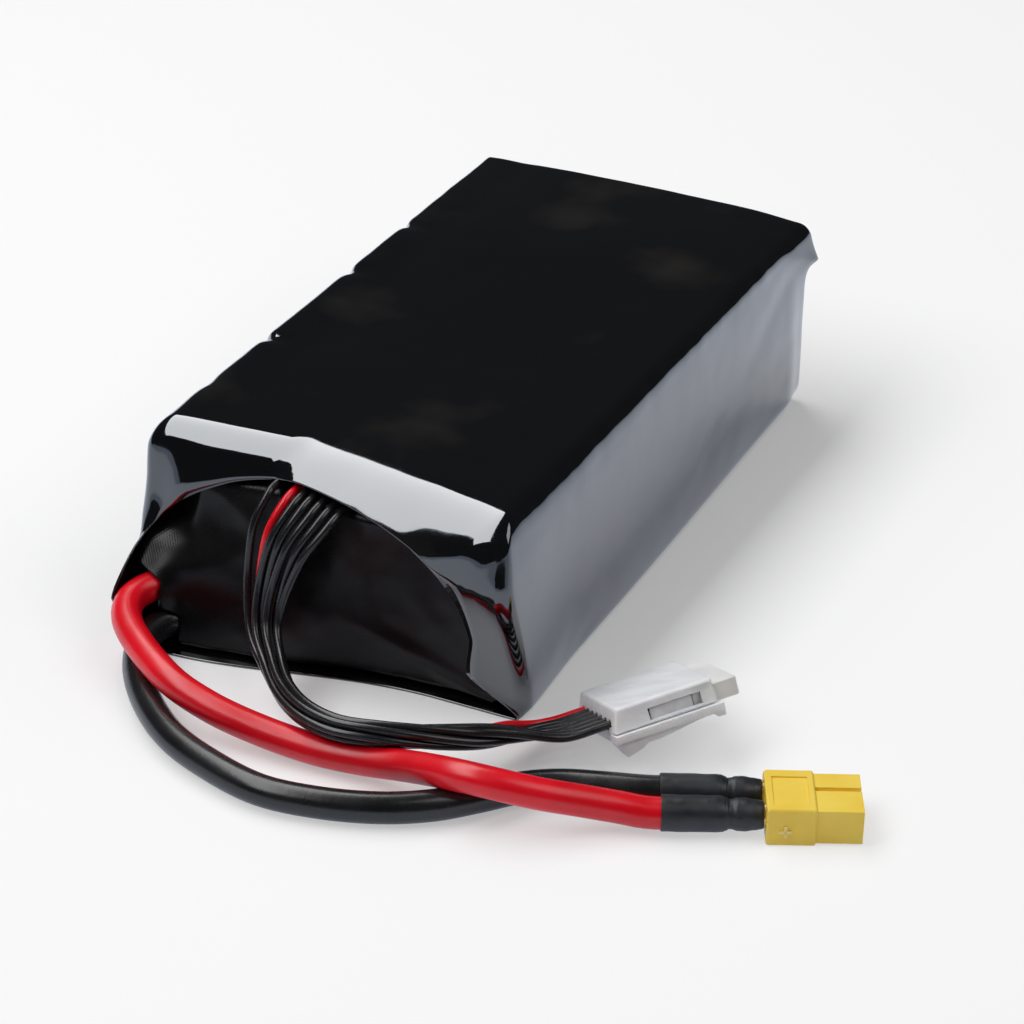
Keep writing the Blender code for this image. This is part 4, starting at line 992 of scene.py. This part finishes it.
# Share of the glow beside the pack, and at a distance from it; the lower share beside the pack lets its real
# shadow show and adds painted shade round its footprint
GLOW_BESIDE = 0.22
GLOW_AWAY = 0.6
GLOW_DISTANCE = 0.075


def join_maths(material, operation, first, second):
    """A node that joins two values."""
    made = node(material, "ShaderNodeMath", operation=operation)
    material.node_tree.links.new(first, made.inputs[0])
    material.node_tree.links.new(second, made.inputs[1])
    return made.outputs[0]


def distance_from_pack(material):
    """How far a place on the floor lies from the pack's footprint."""
    beside = node(material, "ShaderNodeTexCoord").outputs["Object"]
    steps = (("ABSOLUTE", None), ("SUBTRACT", (HALF_WIDTH, -FRONT, 0.0)), ("MAXIMUM", (0.0, 0.0, 0.0)),
             ("LENGTH", None))
    for operation, values in steps:
        step = node(material, "ShaderNodeVectorMath", operation=operation)
        material.node_tree.links.new(beside, step.inputs[0])
        if values is not None:
            step.inputs[1].default_value = values
        beside = step.outputs["Value" if operation == "LENGTH" else "Vector"]
    return beside


def floor_look():
    """Pale matt floor with a glow for seen and mirrored rays, tinted blue in mirrored rays as painted
    reflection colour, and less of it beside the pack as painted shade over the real shadow.
    """
    material = bpy.data.materials.new("floor")
    material.use_nodes = True
    links = material.node_tree.links
    material.node_tree.nodes.clear()
    output = node(material, "ShaderNodeOutputMaterial")
    matt = node(material, "ShaderNodeBsdfDiffuse", Color=FLOOR_COLOUR)
    glow = node(material, "ShaderNodeEmission", Strength=1.0)
    rays = node(material, "ShaderNodeLightPath")
    # In mirrored rays the glow takes the painted blue reflection tint.
    tint = node(material, "ShaderNodeMix", data_type="RGBA")
    colours = [entry for entry in tint.inputs if entry.type == "RGBA"]
    colours[0].default_value = GLOW_SEEN
    colours[1].default_value = PAINTED_REFLECTION_TINT
    links.new(rays.outputs["Is Glossy Ray"], tint.inputs["Factor"])
    links.new([entry for entry in tint.outputs if entry.type == "RGBA"][0], glow.inputs["Color"])
    seen = join_maths(material, "MAXIMUM", rays.outputs["Is Camera Ray"], rays.outputs["Is Glossy Ray"])
    seen = join_maths(material, "MAXIMUM", seen, rays.outputs["Is Transmission Ray"])
    # Less glow beside the pack: painted shade on top of the real shadow there.
    share = span_node(material, 0.0, GLOW_DISTANCE, GLOW_BESIDE, GLOW_AWAY)
    share.interpolation_type = "SMOOTHSTEP"
    links.new(distance_from_pack(material), share.inputs["Value"])
    shown = join_maths(material, "MULTIPLY", seen, share.outputs["Result"])
    mix = node(material, "ShaderNodeMixShader")
    links.new(shown, mix.inputs["Fac"])
    links.new(matt.outputs[0], mix.inputs[1])
    links.new(glow.outputs[0], mix.inputs[2])
    links.new(mix.outputs[0], output.inputs["Surface"])
    return material


def floor():
    """Round pale floor just under the pack."""
    bm = bmesh.new()
    rings = []
    for distance, height in FLOOR_PROFILE:
        ring = []
        for k in range(FLOOR_SIDES):
            turn = math.tau * k / FLOOR_SIDES
            ring.append(bm.verts.new((distance * math.cos(turn), distance * math.sin(turn), height)))
        rings.append(ring)
    bm.faces.new(rings[0])
    join_rings(bm, rings)
    mesh = bpy.data.meshes.new("floor")
    bmesh.ops.recalc_face_normals(bm, faces=bm.faces)
    bm.to_mesh(mesh)
    bm.free()
    mesh.shade_smooth()
    mesh.materials.append(floor_look())
    obj = bpy.data.objects.new("floor", mesh)
    obj.location.z = -FLOOR_DROP
    bpy.context.scene.collection.objects.link(obj)


floor()


# Light and camera
WORLD_COLOUR = (0.9, 0.95, 1.0, 1.0)
WORLD_STRENGTH = 0.03


def softbox(name, place, aim, size, radiance):
    """A plain rectangular lamp, its power worked out from how bright its face is."""
    lamp = bpy.data.lights.new(name, "AREA")
    lamp.shape = "RECTANGLE"
    lamp.size = size[0]
    lamp.size_y = size[1]
    lamp.energy = radiance * math.pi * size[0] * size[1]
    obj = bpy.data.objects.new(name, lamp)
    bpy.context.scene.collection.objects.link(obj)
    obj.location = place
    direction = Vector(aim) - Vector(place)
    obj.rotation_euler = direction.to_track_quat("-Z", "Y").to_euler()


softbox("top_strip", place=(-0.46, -0.20, 0.88), aim=(0.0, -0.20, 0.03), size=(1.70, 0.46), radiance=4.6)
softbox("right_fill", place=(0.75, 0.00, 1.05), aim=(0.0, 0.0, 0.03), size=(0.9, 0.9), radiance=1.9)

world = bpy.data.worlds.new("studio")
bpy.context.scene.world = world
world.use_nodes = True
world.node_tree.nodes["Background"].inputs["Color"].default_value = WORLD_COLOUR
world.node_tree.nodes["Background"].inputs["Strength"].default_value = WORLD_STRENGTH

camera = bpy.data.cameras.new("camera")
camera.sensor_width = SENSOR
camera.lens = SENSOR * FOCAL_PIXELS / IMAGE_PIXELS
camera.clip_start = NEAREST
viewer = bpy.data.objects.new("camera", camera)
bpy.context.scene.collection.objects.link(viewer)
turn = Matrix((CAMERA_RIGHT, CAMERA_UP, CAMERA_RIGHT.cross(CAMERA_UP))).transposed()
viewer.matrix_world = Matrix.Translation(EYE) @ turn.to_4x4()
bpy.context.scene.camera = viewer
bpy.context.scene.view_settings.view_transform = "Standard"
